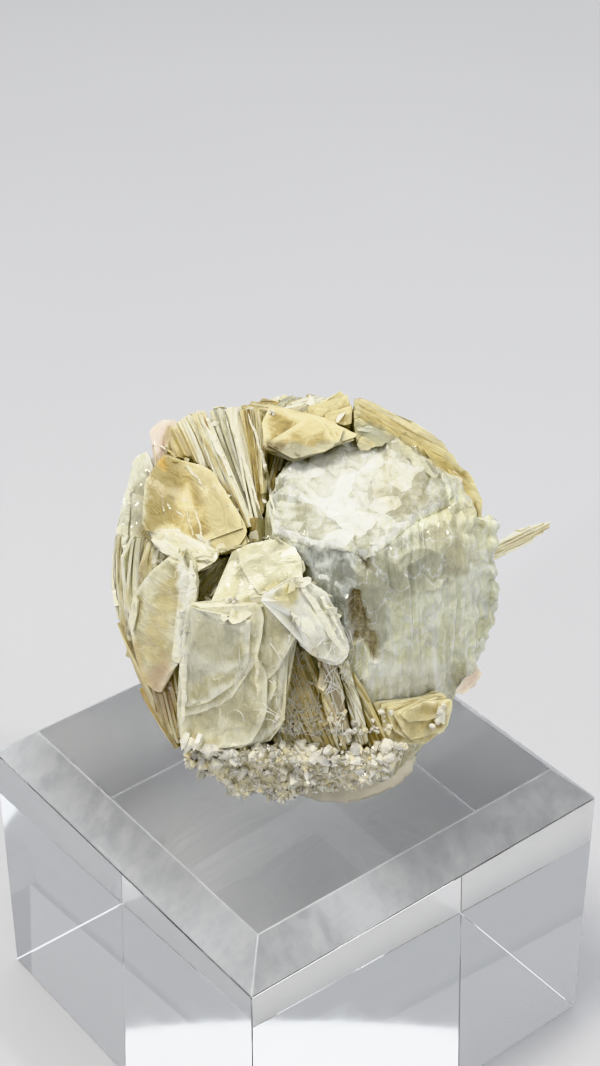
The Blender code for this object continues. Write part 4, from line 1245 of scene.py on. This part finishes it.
def putty():
    mesh, points, normals = refined("putty", voxel=0.55)
    dent = rough(points, 3.5) + 0.4 * rough(points, 1.3)
    push(mesh, points, normals, np.where(points[:, 2] < points[:, 2].min() + 0.0004, 0, 0.35 * dent - 0.15))
    mesh.shade_smooth()
    piece(shown("putty_lump", mesh, putty_look()), "putty", "putty")


def block():
    """The clear block with its edges eased and its bevels left satin."""
    points, faces = solid_of("acrylic_block")
    bm = bmesh.new()
    corners = [bm.verts.new(p) for p in points]
    for face in faces.tolist():
        bm.faces.new([corners[i] for i in face])
    bmesh.ops.dissolve_limit(bm, angle_limit=0.01, verts=bm.verts, edges=bm.edges)
    sharp = [edge for edge in bm.edges if edge.calc_face_angle() > 0.2]
    bmesh.ops.bevel(bm, geom=sharp, offset=0.14 * MM, segments=3, profile=0.5, affect="EDGES")
    mesh = freed(bm, "clear_block")
    valued(mesh, "FACE", satin=[0.4 < face.normal.z < 0.95 for face in mesh.polygons])
    piece(shown("clear_block", mesh, acrylic_look()), "clear_acrylic", "acrylic_block")


display_books()
books_behind()
aquamarine()
crust()
flakes()
hairs()
putty()
block()


# ---- floor, light, eye


def floor():
    bm = bmesh.new()
    bmesh.ops.create_grid(bm, x_segments=8, y_segments=8, size=8)
    n = Nodes("floor")
    tint = n.ramp(n.noise(n.place(), 3, 3), (0.3, (0.5, 0.5, 0.51)), (0.7, (0.54, 0.54, 0.55)))
    obj = shown("floor", freed(bm, "floor"), n.finish(Base_Color=tint, Roughness=0.85))
    obj.location = (0, 0, -0.0001)


def lamp(name, place, size, power, colour=(1, 1, 1)):
    light = bpy.data.lights.new(name, "AREA")
    light.shape = "DISK"
    light.size = size
    light.energy = power
    light.color = colour
    obj = linked(name, light)
    obj.location = place
    obj.rotation_euler = (BALL_MIDDLE - Vector(place)).to_track_quat("-Z", "Y").to_euler()


def studio():
    lamp("key", (-0.15, -0.08, 0.62), 0.12, 2.0, (1.0, 0.96, 0.88))
    lamp("fill", (0.5, -0.35, 0.35), 0.4, 0.5, (0.95, 0.98, 1.0))
    lamp("glint_left", (-0.3, -0.45, 0.42), 0.03, 0.5)
    lamp("glint_right", (0.28, -0.2, 0.5), 0.03, 0.5)
    lamp("overhead", (0, 0.3, 2.4), 3.5, 37.0, (0.98, 0.99, 1.0))
    world = bpy.data.worlds.new("soft_sky")
    world.use_nodes = True
    world.node_tree.nodes["Background"].inputs["Color"].default_value = (0.93, 0.95, 1.0, 1)
    world.node_tree.nodes["Background"].inputs["Strength"].default_value = 0.5
    bpy.context.scene.world = world
    bpy.context.scene.view_settings.view_transform = "Khronos PBR Neutral"


def camera():
    data = bpy.data.cameras.new("camera")
    data.sensor_fit = "AUTO"
    data.sensor_width = 36
    data.lens = data.sensor_width * FOCAL_PIXELS / PHOTO_HEIGHT
    data.clip_start = 0.01
    data.clip_end = 20
    obj = linked("camera", data)
    obj.location = EYE
    obj.rotation_euler = (math.pi / 2 - VIEW_PITCH, 0, 0)
    bpy.context.scene.camera = obj


floor()
studio()
camera()
